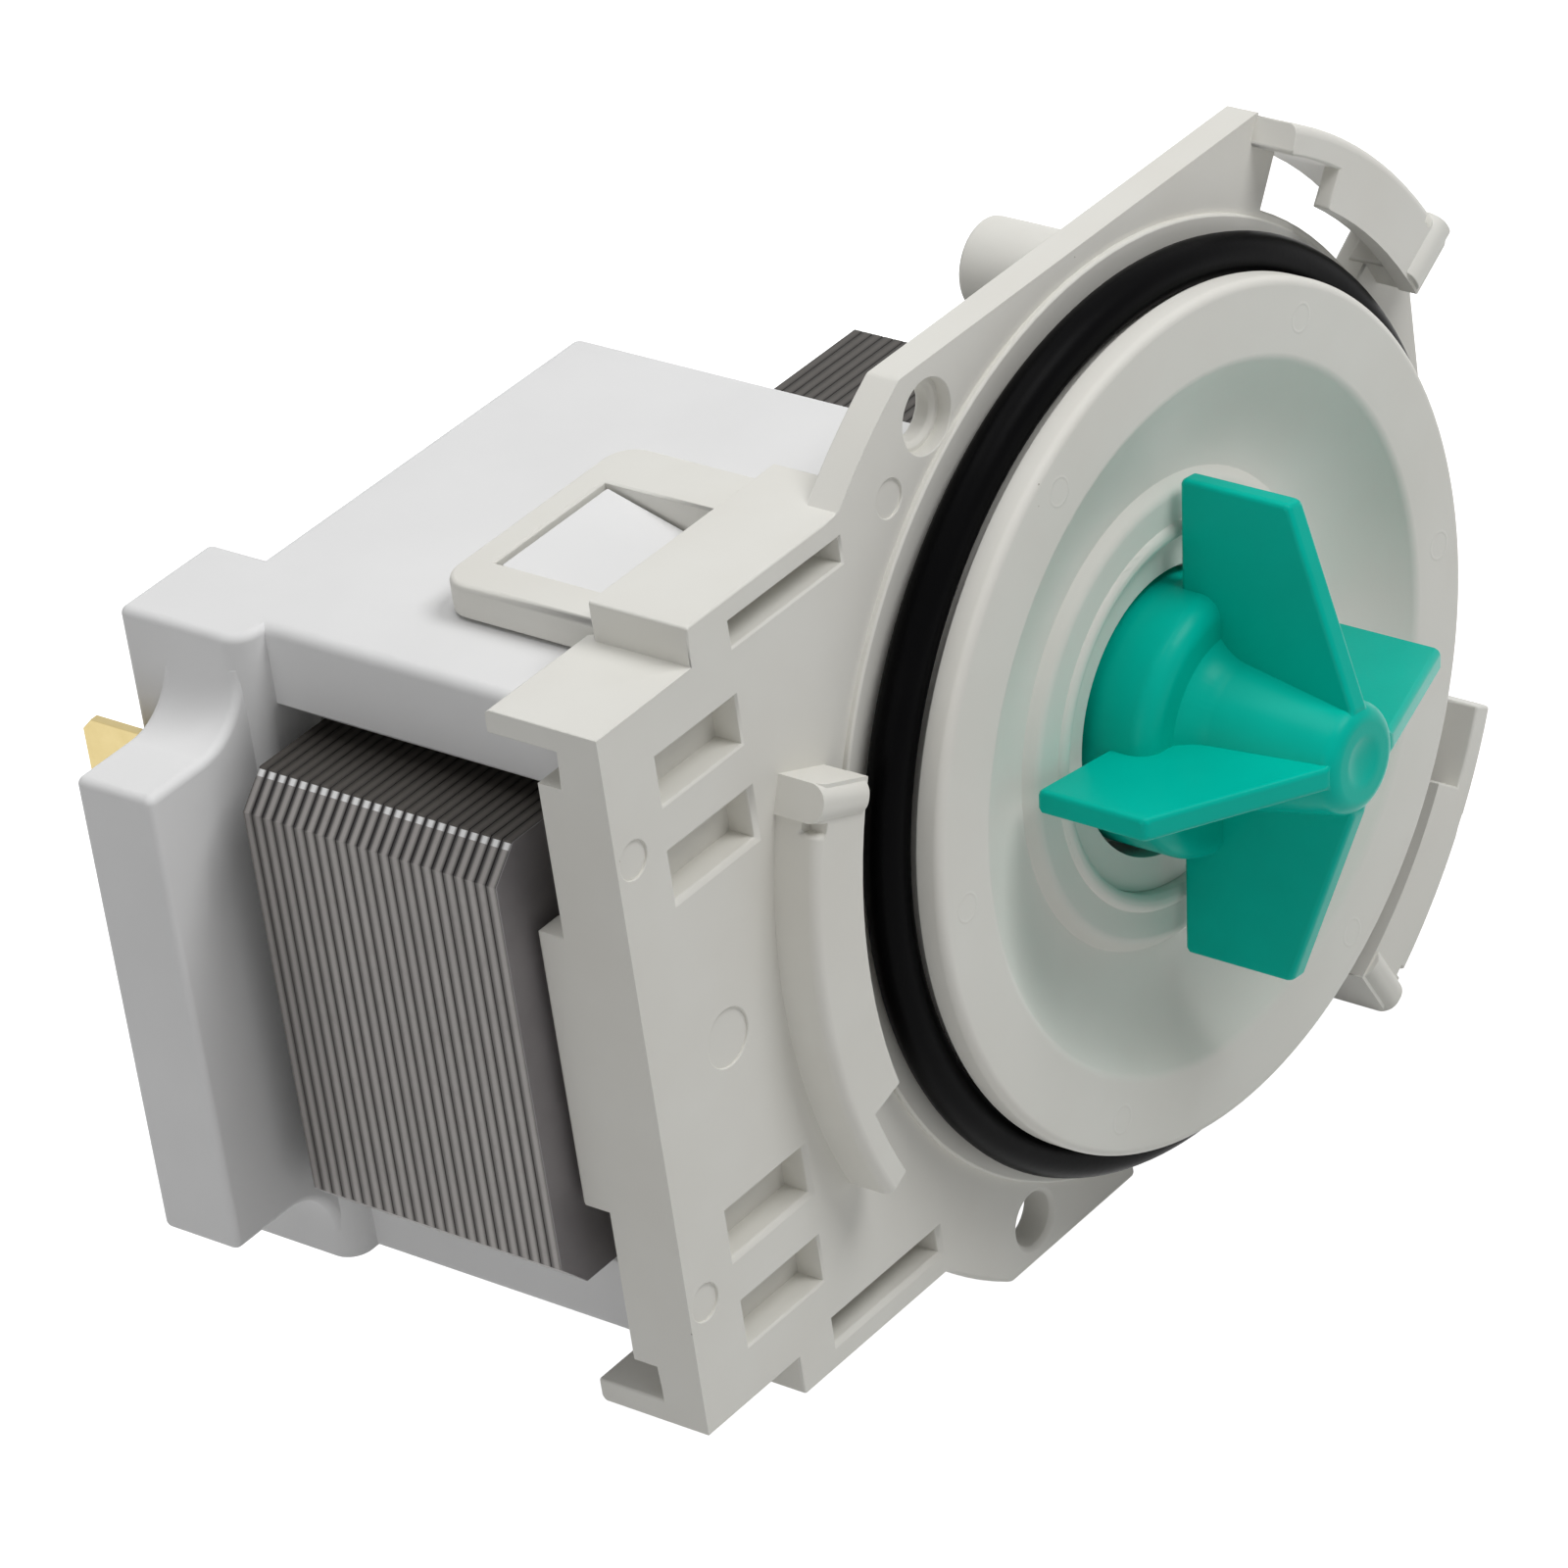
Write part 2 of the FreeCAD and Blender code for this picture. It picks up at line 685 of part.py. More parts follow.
def magnet_carrier():
    """Moulded sleeve that holds the magnet on the shaft."""
    sleeve = magnet_bore - fit_clearance
    front = carrier_front
    profile = [(shaft_radius, front), (carrier_flange_radius, front),
               (carrier_flange_radius, front + carrier_flange_thickness),
               (sleeve, front + carrier_flange_thickness),
               (sleeve, carrier_rear - carrier_flange_thickness),
               (carrier_flange_radius, carrier_rear - carrier_flange_thickness),
               (carrier_flange_radius, carrier_rear), (shaft_radius, carrier_rear)]
    return turned(profile)


def front_bearing_holder():
    """Cup that closes the can in front: sleeve round the drum, floor with seal groove, bearing boss."""
    front = holder_seat - holder_thickness
    outer = bore_radius - fit_clearance
    bore = cushion_radius + fit_clearance
    middle = front + holder_thickness / 2
    half = holder_ring_section / 2 + fit_clearance
    floor = outer - holder_ring_section
    profile = [(bore, front), (holder_mouth_bore, front), (holder_mouth_bore, holder_mouth),
               (outer, holder_mouth), (outer, middle - half), (floor, middle - half),
               (floor, middle + half), (outer, middle + half), (outer, holder_seat),
               (holder_boss_radius, holder_seat), (holder_boss_radius, holder_boss_rear),
               (bore, holder_boss_rear)]
    return turned(profile)


def holder_seal_ring():
    middle = holder_seat - holder_thickness / 2
    half = holder_ring_section / 2
    outer = bore_radius - fit_clearance
    return tube(outer - holder_ring_section, outer, middle - half, middle + half)


def front_bearing():
    front = holder_seat - holder_thickness
    return tube(bearing_bore, bearing_radius, front, front + front_bearing_length)


def front_cushion():
    front = holder_seat - holder_thickness
    return tube(bearing_radius + fit_clearance, cushion_radius, front, front + front_bearing_length)


def rear_bearing():
    return tube(bearing_bore, bearing_radius, rear_bearing_front, rear_bearing_front + rear_bearing_length)


def rear_cushion():
    outer = cushion_bore - fit_clearance
    rear = rear_bearing_front + rear_bearing_length
    return tube(bearing_radius + fit_clearance, outer, rear_bearing_front, rear)


def front_washer():
    rear = carrier_front - washer_gap
    return tube(bearing_bore, washer_radius, rear - washer_thickness, rear)


def rear_washer():
    front = carrier_rear + washer_gap
    return tube(bearing_bore, washer_radius, front, front + washer_thickness)


def core_sheet():
    """One U-shaped sheet: yoke at the left, two legs, and pole arcs round the can."""
    left, top = -core_left, core_half_height
    cut, corner = core_left_chamfer, core_right_chamfer
    inner = yoke_width - core_left
    outline = [(left, cut - top), (left, top - cut), (left + cut, top), (core_right - corner, top),
               (core_right, top - corner), (core_right, pole_tip), (0, pole_tip), (0, leg_inner),
               (inner, leg_inner), (inner, -leg_inner), (0, -leg_inner), (0, -pole_tip),
               (core_right, -pole_tip), (core_right, corner - top), (core_right - corner, -top),
               (left + cut, -top)]
    face = polygon([Vector(x, core_front, z) for x, z in outline])
    sheet = face.extrude(Vector(0, sheet_thickness, 0))
    front, rear = core_front - overrun, core_rear + overrun
    sheet = sheet.cut(rod(core_bore, front, rear))
    step = core_bore + bore_step
    upper = ring_sector(core_bore - overrun, step, front, rear, 90 - bore_step_angle, bore_step_angle)
    lower = ring_sector(core_bore - overrun, step, front, rear, 270 - bore_step_angle, bore_step_angle)
    return sheet.cut(Part.makeCompound([upper, lower]))


def core_laminations():
    """All sheets of the core, one behind the other."""
    sheet = core_sheet()
    stack = []
    for index in range(sheet_count):
        copy = sheet.copy()
        copy.translate(Vector(0, index * sheet_pitch, 0))
        stack.append(copy)
    return Part.makeCompound(stack)


def leg_sleeve(left, right, growth):
    """Box round the upper leg, larger than the leg by the growth on each side."""
    bottom, top = leg_inner - growth, core_half_height + growth
    return block(left, right, core_front - growth, core_rear + growth, bottom, top)


def bobbin_ends():
    left = yoke_width - core_left + bobbin_clearance
    return left, -bobbin_right


def upper_bobbin():
    """Spool on the upper leg, with a flange at each end."""
    left, right = bobbin_ends()
    wall = bobbin_clearance + bobbin_wall
    rim = wall + winding_thickness + bobbin_flange_rim
    spool = leg_sleeve(left, right, wall)
    flange = leg_sleeve(left, left + bobbin_flange_thickness, rim)
    corners = edges_along(flange, Vector(1, 0, 0), lambda middle: True)
    flange = flange.makeFillet(winding_corner_round, corners)
    other = flange.copy()
    other.translate(Vector(right - left - bobbin_flange_thickness, 0, 0))
    spool = spool.multiFuse([flange, other])
    return spool.cut(leg_sleeve(left - overrun, right + overrun, bobbin_clearance)).removeSplitter()


def upper_winding():
    """Copper winding between the bobbin's flanges."""
    left, right = bobbin_ends()
    left += bobbin_flange_thickness + fit_clearance
    right -= bobbin_flange_thickness + fit_clearance
    wall = bobbin_clearance + bobbin_wall + fit_clearance
    body = leg_sleeve(left, right, wall + winding_thickness - fit_clearance)
    corners = edges_along(body, Vector(1, 0, 0), lambda middle: True)
    body = body.makeFillet(winding_corner_round, corners)
    return body.cut(leg_sleeve(left - overrun, right + overrun, wall))


def casing_ramp():
    """Ramp that the snap loop rides over and catches behind."""
    left = -window_left + ramp_clearance
    right = -window_right - ramp_clearance
    rear = window_rear - ramp_clearance
    root = casing_half_height - casing_wall / 2
    corners = [Vector(left, ramp_front, root), Vector(left, ramp_front, casing_half_height),
               Vector(left, rear, ramp_height), Vector(left, rear, root)]
    return polygon(corners).extrude(Vector(right - left, 0, 0))


def terminal_socket():
    """Open pocket round the upper terminal and the slit that holds its root."""
    half = terminal_width / 2
    side = terminal_thickness / 2
    low, high = terminal_level - half, terminal_level + half
    pocket = block(-terminal_x - side - socket_side_margin, -terminal_x + side + socket_side_margin,
                   socket_front, horn_rear + overrun, low - socket_end_margin, high + socket_end_margin)
    slit = block(-terminal_x - side, -terminal_x + side, terminal_root, horn_rear, low, high)
    return pocket.fuse(slit)


def terminal_block():
    """Upright block behind the casing with the horn that carries the spade terminals."""
    height = casing_half_height
    pillar = block(-block_left, -block_right, block_front, block_rear, -height, height)

    def left_front(middle):
        return middle.x < overrun - block_left and middle.y < block_front + overrun

    corner = edges_along(pillar, Vector(0, 0, 1), left_front)
    pillar = pillar.makeFillet(block_front_round, corner)
    pillar = soften(pillar, block_edge_round, lambda middle: True)
    root = -block_left + overrun
    foot = horn_half_height + horn_hollow
    middle = horn_hollow * math.sqrt(0.5)
    centre = -block_left - horn_hollow
    inner = centre + middle
    height = horn_half_height

    def at(x, z):
        return Vector(x, horn_front, z)

    def beside(middle):
        return middle.x < centre and abs(middle.z) <= horn_half_height

    outline = [
        line(at(-horn_left, -height), at(-horn_left, height)),
        line(at(-horn_left, height), at(centre, height)),
        arc(at(centre, height), at(inner, foot - middle), at(-block_left, foot)),
        line(at(-block_left, foot), at(root, foot)),
        line(at(root, foot), at(root, -foot)),
        line(at(root, -foot), at(-block_left, -foot)),
        arc(at(-block_left, -foot), at(inner, middle - foot), at(centre, -height)),
        line(at(centre, -height), at(-horn_left, -height)),
    ]
    horn = face_from(outline).extrude(Vector(0, horn_rear - horn_front, 0))
    horn = soften(horn, block_edge_round, beside)
    return pillar.fuse(horn)


def coil_casing():
    """Shell round both coils, open towards the flange and beside the core."""
    height = casing_half_height
    shell = block(-casing_left, -casing_right, casing_front, casing_rear, -height, height)
    shell = soften(shell, casing_edge_round, lambda middle: middle.y > casing_front + overrun)
    shell = shell.fuse(terminal_block())
    inside = height - casing_wall
    yoke_room = -casing_left + casing_wall
    coil_left, _ = bobbin_ends()
    coil_room = block(coil_left - bobbin_clearance, -casing_right - casing_wall, casing_front - overrun,
                      casing_rear - casing_wall, -inside, inside)
    lane = block(-casing_left - overrun, coil_left, casing_front - overrun, side_opening_rear,
                 side_band_width - height, height - side_band_width)
    shade = block(yoke_room, coil_left, casing_front - overrun, side_opening_rear, -inside, inside)
    gate_height = core_half_height + bobbin_clearance + bobbin_wall
    gate = block(-casing_right - casing_wall - overrun, -casing_right + overrun, casing_front - overrun,
                 casing_rear - casing_wall, -gate_height, gate_height)
    cuts = [coil_room, lane, shade, gate] + both_sides(terminal_socket())
    shell = shell.cut(Part.makeCompound(cuts))
    return shell.multiFuse(both_sides(casing_ramp())).removeSplitter()


def upper_terminal():
    """Brass spade tab with a bevelled tip."""
    half = terminal_width / 2
    side = terminal_thickness / 2
    low, high = terminal_level - half, terminal_level + half
    cut = terminal_tip_chamfer
    corners = [Vector(-terminal_x - side, y, z) for y, z in (
        (terminal_root, low), (terminal_tip - cut, low), (terminal_tip, low + cut),
        (terminal_tip, high - cut), (terminal_tip - cut, high), (terminal_root, high))]
    return polygon(corners).extrude(Vector(terminal_thickness, 0, 0))


os.makedirs("parts", exist_ok=True)
save("mounting_flange", mounting_flange())
save("spigot_seal", spigot_seal())
save("impeller", impeller())
save("coupling_cover", coupling_cover())
save("drive_dog", drive_dog())
save("coupling_damper", coupling_damper())
save("shaft_seal", shaft_seal())
save("rotor_shaft", rotor_shaft())
save("rotor_magnet", rotor_magnet())
save("magnet_carrier", magnet_carrier())
save("front_bearing_holder", front_bearing_holder())
save("holder_seal_ring", holder_seal_ring())
save("front_bearing", front_bearing())
save("front_cushion", front_cushion())
save("front_washer", front_washer())
save("rear_bearing", rear_bearing())
save("rear_cushion", rear_cushion())
save("rear_washer", rear_washer())
save("core_laminations", core_laminations())
save("upper_bobbin", upper_bobbin())
save("lower_bobbin", upside_down(upper_bobbin()))
save("upper_winding", upper_winding())
save("lower_winding", upside_down(upper_winding()))
save("coil_casing", coil_casing())
save("upper_terminal", upper_terminal())
save("lower_terminal", upside_down(upper_terminal()))
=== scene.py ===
# %% [markdown]
# A drain pump from a dishwasher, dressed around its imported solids.
# The real pump is a white flange that seals in the sump, a blue-green impeller in front of it, and a motor
# behind it: a stack of steel sheets with two coils under a white casing.
# The solids already have the true sizes, so this lesson only adds what light shows: rounded mould edges,
# the grain of each plastic, the cut edges of the sheets, the turns of the copper wire.
# One unit here is one metre, and MM turns a size in millimetres into it.

# %% Load the frame
import json
import math
from itertools import combinations

import bmesh
import bpy
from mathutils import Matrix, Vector
from mathutils.bvhtree import BVHTree
from mathutils.kdtree import KDTree


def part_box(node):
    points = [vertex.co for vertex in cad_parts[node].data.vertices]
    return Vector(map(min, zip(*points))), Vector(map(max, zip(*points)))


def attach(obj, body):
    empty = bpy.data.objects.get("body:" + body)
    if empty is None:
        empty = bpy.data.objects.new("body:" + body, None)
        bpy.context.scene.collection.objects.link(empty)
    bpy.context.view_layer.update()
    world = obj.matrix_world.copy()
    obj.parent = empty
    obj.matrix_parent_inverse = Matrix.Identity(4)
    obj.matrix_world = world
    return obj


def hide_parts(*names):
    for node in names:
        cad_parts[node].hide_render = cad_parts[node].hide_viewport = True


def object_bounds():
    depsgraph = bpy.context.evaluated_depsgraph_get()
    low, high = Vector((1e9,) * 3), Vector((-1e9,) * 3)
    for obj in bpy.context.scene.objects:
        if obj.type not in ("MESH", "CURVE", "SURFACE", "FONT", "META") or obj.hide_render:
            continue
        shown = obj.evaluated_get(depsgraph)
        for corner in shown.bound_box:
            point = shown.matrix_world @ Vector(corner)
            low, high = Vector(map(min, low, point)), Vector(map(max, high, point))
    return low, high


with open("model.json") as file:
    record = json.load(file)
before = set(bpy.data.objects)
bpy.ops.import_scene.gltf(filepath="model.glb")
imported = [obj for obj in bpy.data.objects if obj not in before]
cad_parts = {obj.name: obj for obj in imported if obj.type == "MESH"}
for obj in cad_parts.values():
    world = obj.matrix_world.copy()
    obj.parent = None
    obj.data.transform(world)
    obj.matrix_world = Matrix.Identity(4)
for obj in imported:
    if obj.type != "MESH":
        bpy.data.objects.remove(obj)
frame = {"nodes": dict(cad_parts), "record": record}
MM = 0.001
scene = bpy.context.scene
cad_low, cad_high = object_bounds()
print("nodes", len(frame["nodes"]), "box in mm", [round((b - a) / MM, 1) for a, b in zip(cad_low, cad_high)])

# %% [markdown]
# The photograph is a product shot from the left, above and in front of the pump, with a long lens.
# A long lens keeps parallel edges nearly parallel, which is why the pump looks so calm.
# Three angles turn the camera, and no lens shift is used, so the same camera can be moved to other sides.

# %% Camera
CAMERA_PLACE = Vector((-408.1, -327.5, 307.4)) * MM
CAMERA_TILT, CAMERA_ROLL, CAMERA_TURN = 59.047, 7.302, -52.579
LENS = 183.7
SENSOR_WIDTH = 36

camera_data = bpy.data.cameras.new("camera")
camera_data.lens = LENS
camera_data.sensor_width = SENSOR_WIDTH
camera = bpy.data.objects.new("camera", camera_data)
scene.collection.objects.link(camera)
camera.location = CAMERA_PLACE
camera.rotation_euler = [math.radians(angle) for angle in (CAMERA_TILT, CAMERA_ROLL, CAMERA_TURN)]
scene.camera = camera
print("camera", round(CAMERA_PLACE.length, 3), "m from the pump")

# %% [markdown]
# The pump stands in a white studio, whose world gives a weak, even light. The camera sees the world and the
# floor brighter than they are, through the Light Path node, so that the background ends as plain white and
# pale surfaces don't clip. Glossy and transmission rays see that white too, so that metal mirrors the
# background that the camera sees.

# %% World
WORLD_STRENGTH = 0.24
WORLD_SEEN = 1.05
WHITE = (1, 1, 1, 1)
SEEN_RAYS = ("Is Camera Ray", "Is Glossy Ray", "Is Transmission Ray")


def seen_as_background(tree):
    """1 for the rays that see the white background, and 0 for those that light the pump."""
    rays = tree.nodes.new("ShaderNodeLightPath")
    first, *others = SEEN_RAYS
    seen = rays.outputs[first]
    for ray in others:
        either = tree.nodes.new("ShaderNodeMath")
        either.operation = "MAXIMUM"
        tree.links.new(seen, either.inputs[0])
        tree.links.new(rays.outputs[ray], either.inputs[1])
        seen = either.outputs[0]
    return seen


scene.view_settings.view_transform = "Standard"
world = bpy.data.worlds.new("studio")
scene.world = world
world.use_nodes = True
world_tree = world.node_tree
background = world_tree.nodes["Background"]
background.inputs["Color"].default_value = WHITE
world_level = world_tree.nodes.new("ShaderNodeMapRange")
world_level.inputs["To Min"].default_value = WORLD_STRENGTH
world_level.inputs["To Max"].default_value = WORLD_SEEN
world_tree.links.new(seen_as_background(world_tree), world_level.inputs["Value"])
world_tree.links.new(world_level.outputs["Result"], background.inputs["Strength"])
print("world lights at", WORLD_STRENGTH, "and is seen at", WORLD_SEEN)

# %% [markdown]
# Most light comes from two large lamps overhead, so top faces are nearly white, the front is a little darker
# and the left side darker again, and that order shows the form. A third, weak lamp lifts the left side.
# All are square area lamps that look at the origin, inside the pump. A large lamp gives soft shadows.

# %% Lamps


def soft_lamp(name, place, size, watts):
    """Square lamp that looks at the origin."""
    data = bpy.data.lights.new(name, "AREA")
    data.size = size
    data.energy = watts
    lamp = bpy.data.objects.new(name, data)
    lamp.location = place
    lamp.rotation_euler = (-Vector(place)).to_track_quat("-Z", "Y").to_euler()
    scene.collection.objects.link(lamp)
    print(name, watts, "W")


soft_lamp("key_lamp", place=(0.20, -0.42, 0.74), size=0.4, watts=3.6)
soft_lamp("top_lamp", place=(-0.03, 0.10, 0.85), size=0.5, watts=2.15)
soft_lamp("side_lamp", place=(-0.8, -0.1, 0.2), size=0.4, watts=0.4)

# %% [markdown]
# The floor is one large face just under the pump. It is light grey for the light that bounces off it, and
# it glows plain white for the rays that see the background, so no edge of it shows.

# %% Floor
FLOOR_HALF = 4.0
FLOOR_DROP = 0.2 * MM
FLOOR_GREY = 0.62
FLOOR_ROUGHNESS = 0.9

floor_bm = bmesh.new()
bmesh.ops.create_grid(floor_bm, x_segments=1, y_segments=1, size=FLOOR_HALF)
bmesh.ops.translate(floor_bm, vec=(0, 0, cad_low.z - FLOOR_DROP), verts=floor_bm.verts)
floor_mesh = bpy.data.meshes.new("floor")
floor_bm.to_mesh(floor_mesh)
floor_bm.free()
floor = bpy.data.objects.new("floor", floor_mesh)
scene.collection.objects.link(floor)

floor_material = bpy.data.materials.new("floor_white")
floor_material.use_nodes = True
floor_tree = floor_material.node_tree
floor_shader = floor_tree.nodes["Principled BSDF"]
floor_shader.inputs["Base Color"].default_value = (FLOOR_GREY, FLOOR_GREY, FLOOR_GREY, 1)
floor_shader.inputs["Roughness"].default_value = FLOOR_ROUGHNESS
floor_shader.inputs["Emission Color"].default_value = WHITE
floor_tree.links.new(seen_as_background(floor_tree), floor_shader.inputs["Emission Strength"])
floor_mesh.materials.append(floor_material)
print("floor at", round((cad_low.z - FLOOR_DROP) / MM, 2), "mm")

# %% [markdown]
# Every finish below is a small tree of nodes. The helpers here add one node each and give back its output,
# so that a finish reads like a formula. An input is either a number or the output of another node.

# %% Helpers for numbers


def feed(tree, socket, value):
    """Sets an input to a number or a colour, or links another node's output to it."""
    if isinstance(value, (int, float, tuple)):
        socket.default_value = value
    else:
        tree.links.new(value, socket)


def math_node(tree, operation, first, second=0.0):
    node = tree.nodes.new("ShaderNodeMath")
    node.operation = operation
    feed(tree, node.inputs[0], first)
    feed(tree, node.inputs[1], second)
    return node.outputs[0]


def noise_node(tree, place, scale, detail=2.0, roughness=0.5):
    node = tree.nodes.new("ShaderNodeTexNoise")
    node.inputs["Detail"].default_value = detail
    node.inputs["Roughness"].default_value = roughness
    feed(tree, node.inputs["Vector"], place)
    feed(tree, node.inputs["Scale"], scale)
    return node.outputs["Fac"]


def map_range(tree, value, low, high, from_low=0.0, from_high=1.0):
    node = tree.nodes.new("ShaderNodeMapRange")
    feed(tree, node.inputs["Value"], value)
    feed(tree, node.inputs["From Min"], from_low)
    feed(tree, node.inputs["From Max"], from_high)
    feed(tree, node.inputs["To Min"], low)
    feed(tree, node.inputs["To Max"], high)
    return node.outputs["Result"]


def object_place(tree):
    """Place on the piece in metres. Every piece lies at the origin, so it is the place in the pump too."""
    return tree.nodes.new("ShaderNodeTexCoord").outputs["Object"]


print("helpers for numbers", [helper.__name__ for helper in (math_node, noise_node, map_range)])

# %% [markdown]
# Two more helpers end most finishes. A Mix node blends two colours by a factor. A Bump node tilts the
# normal by a height, so that fine grain catches the light without any more faces.

# %% Helpers for colours and bumps


def mix_colours(tree, factor, first, second):
    node = tree.nodes.new("ShaderNodeMix")
    node.data_type = "RGBA"
    first_socket, second_socket = [socket for socket in node.inputs if socket.type == "RGBA"]
    feed(tree, node.inputs["Factor"], factor)
    feed(tree, first_socket, first)
    feed(tree, second_socket, second)
    return next(socket for socket in node.outputs if socket.type == "RGBA")


def bump(tree, height, strength, distance, normal=None):
    node = tree.nodes.new("ShaderNodeBump")
    feed(tree, node.inputs["Height"], height)
    feed(tree, node.inputs["Strength"], strength)
    feed(tree, node.inputs["Distance"], distance)
    if normal:
        feed(tree, node.inputs["Normal"], normal)
    return node.outputs["Normal"]


print("helpers for looks", [helper.__name__ for helper in (mix_colours, bump)])

# %% [markdown]
# All moulded plastics share two effects: the fine grain that the tool's spark-eroded walls leave, and a
# slow, weak change of tone where the melt flowed. Both are made once as a node group, and each material
# sets its own scales.

# %% Grain of a moulding
GRAIN_SCALE = 2600.0
MOTTLE_SCALE = 60.0
WAVE_SHARE = 3.0


def new_group(name, inputs, outputs):
    """Empty shader group with numbers as inputs, by name and first value, and as outputs."""
    tree = bpy.data.node_groups.new(name, "ShaderNodeTree")
    for label, value in inputs.items():
        socket = tree.interface.new_socket(label, in_out="INPUT", socket_type="NodeSocketFloat")
        socket.default_value = value
    for label in outputs:
        tree.interface.new_socket(label, in_out="OUTPUT", socket_type="NodeSocketFloat")
    return tree, tree.nodes.new("NodeGroupInput").outputs, tree.nodes.new("NodeGroupOutput").inputs


def build_mould_grain():
    """Grain height, and a slow mottle between 0 and 1."""
    tree, given, result = new_group("mould_grain", {"Grain Scale": GRAIN_SCALE, "Mottle Scale": MOTTLE_SCALE},
                                    ("Height", "Mottle"))
    place = object_place(tree)
    fine = noise_node(tree, place, given["Grain Scale"], detail=3.0, roughness=0.6)
    broad = noise_node(tree, place, given["Mottle Scale"], detail=3.0, roughness=0.55)
    feed(tree, result["Height"], math_node(tree, "ADD", fine, math_node(tree, "MULTIPLY", broad, WAVE_SHARE)))
    feed(tree, result["Mottle"], broad)
    return tree


MOULD_GRAIN = build_mould_grain()
print("group", MOULD_GRAIN.name, [item.name for item in MOULD_GRAIN.interface.items_tree])

# %% [markdown]
# Dust and handling marks gather in corners and hollows. Cycles can find these places with its Ambient
# Occlusion node, but the exported model can't carry that, so the marks come from thresholded noise instead:
# the middles of Voronoi cells are small round dots, and slow noise keeps only a few of them.

# %% Specks
SPECK_SCALE = 420.0
SPECK_SIZE = 0.4
RARE_SCALE = 90.0
RARE_LIMIT = 0.62


def build_specks():
    """Mask of small, rare specks such as dust on a moulding."""
    tree, given, result = new_group("specks", {"Scale": SPECK_SCALE, "Amount": 0.0}, ("Mask",))
    place = object_place(tree)
    cells = tree.nodes.new("ShaderNodeTexVoronoi")
    feed(tree, cells.inputs["Vector"], place)
    feed(tree, cells.inputs["Scale"], given["Scale"])
    size = math_node(tree, "MULTIPLY", given["Amount"], SPECK_SIZE)
    near = math_node(tree, "LESS_THAN", cells.outputs["Distance"], size)
    rare = math_node(tree, "GREATER_THAN", noise_node(tree, place, RARE_SCALE), RARE_LIMIT)
    feed(tree, result["Mask"], math_node(tree, "MULTIPLY", near, rare))
    return tree


SPECKS = build_specks()
print("group", SPECKS.name)

# %% [markdown]
# Round pins push a moulding out of its tool, and each leaves a faint circle. Six stand evenly round the front
# disc. The mask is the distance to the nearest pin, folded so that it peaks on the pin's outline.

# %% Pin marks
PIN_COUNT = 6
PIN_CIRCLE = 31.0 * MM
PIN_FIRST = -2
PIN_RADIUS = 1.1 * MM
PIN_LINE = 0.16 * MM
PIN_DEPTH = 0.05 * MM
PIN_STRENGTH = 0.6
PIN_FRONT = -3.0 * MM


def around(centre, reach, angle):
    """Point of a circle in a plane: its centre, its radius, and an angle in degrees."""
    turn = math.radians(angle)
    return (centre[0] + reach * math.cos(turn), centre[1] + reach * math.sin(turn))


def build_pin_marks():
    """Mask of the thin circles that the pins leave on the front disc."""
    tree, given, result = new_group("pin_marks", {"Line Width": PIN_LINE}, ("Mask",))
    split = tree.nodes.new("ShaderNodeSeparateXYZ")
    feed(tree, split.inputs[0], object_place(tree))
    flat = tree.nodes.new("ShaderNodeCombineXYZ")
    feed(tree, flat.inputs["X"], split.outputs["X"])
    feed(tree, flat.inputs["Z"], split.outputs["Z"])
    nearest = None
    for number in range(PIN_COUNT):
        pin_x, pin_z = around((0, 0), PIN_CIRCLE, PIN_FIRST + 360 * number / PIN_COUNT)
        to_pin = tree.nodes.new("ShaderNodeVectorMath")
        to_pin.operation = "DISTANCE"
        feed(tree, to_pin.inputs[0], flat.outputs[0])
        feed(tree, to_pin.inputs[1], (pin_x, 0, pin_z))
        distance = to_pin.outputs["Value"]
        nearest = math_node(tree, "MINIMUM", nearest, distance) if number else distance
    away = math_node(tree, "ABSOLUTE", math_node(tree, "SUBTRACT", nearest, PIN_RADIUS))
    share = math_node(tree, "DIVIDE", away, given["Line Width"])
    line = math_node(tree, "MAXIMUM", math_node(tree, "SUBTRACT", 1.0, share), 0.0)
    front = math_node(tree, "LESS_THAN", split.outputs["Y"], PIN_FRONT)
    feed(tree, result["Mask"], math_node(tree, "MULTIPLY", line, front))
    return tree


PIN_MARKS = build_pin_marks()
print("group", PIN_MARKS.name, "pins", PIN_COUNT)

# %% [markdown]
# Each finish becomes a material, kept under the name of the slot that the frame knows it by. Blender counts
# colour in linear light, while a picture program shows it on the sRGB curve, so one helper turns the levels
# of a picture program into linear light.

# %% Colours and materials
MATERIALS = {}


def srgb(red, green, blue):
    """Colour as a picture program shows it, turned into linear light."""
    def linear(value):
        part = value / 255
        return part / 12.92 if part <= 0.04045 else ((part + 0.055) / 1.055) ** 2.4
    return (linear(red), linear(green), linear(blue), 1)


def new_material(slot):
    """Material kept under its slot's name. Gives back its tree and its Principled shader."""
    material = bpy.data.materials.new(slot)
    material.use_nodes = True
    MATERIALS[slot] = material
    return material.node_tree, material.node_tree.nodes["Principled BSDF"]


def group_node(tree, group, **values):
    node = tree.nodes.new("ShaderNodeGroup")
    node.node_tree = group
    for label, value in values.items():
        feed(tree, node.inputs[label.replace("_", " ")], value)
    return node.outputs


print("white", [round(level, 3) for level in srgb(255, 255, 255)], "middle grey",
      [round(level, 3) for level in srgb(128, 128, 128)])

# %% [markdown]
# A moulded plastic is then one Principled shader. Its colour moves a little between two tones with the
# mottle, its roughness moves with it, and the grain feeds a Bump node. Real plastics here are matt and hardly
# mirror the white studio, so their specular level is low. Rubber is made the same way.

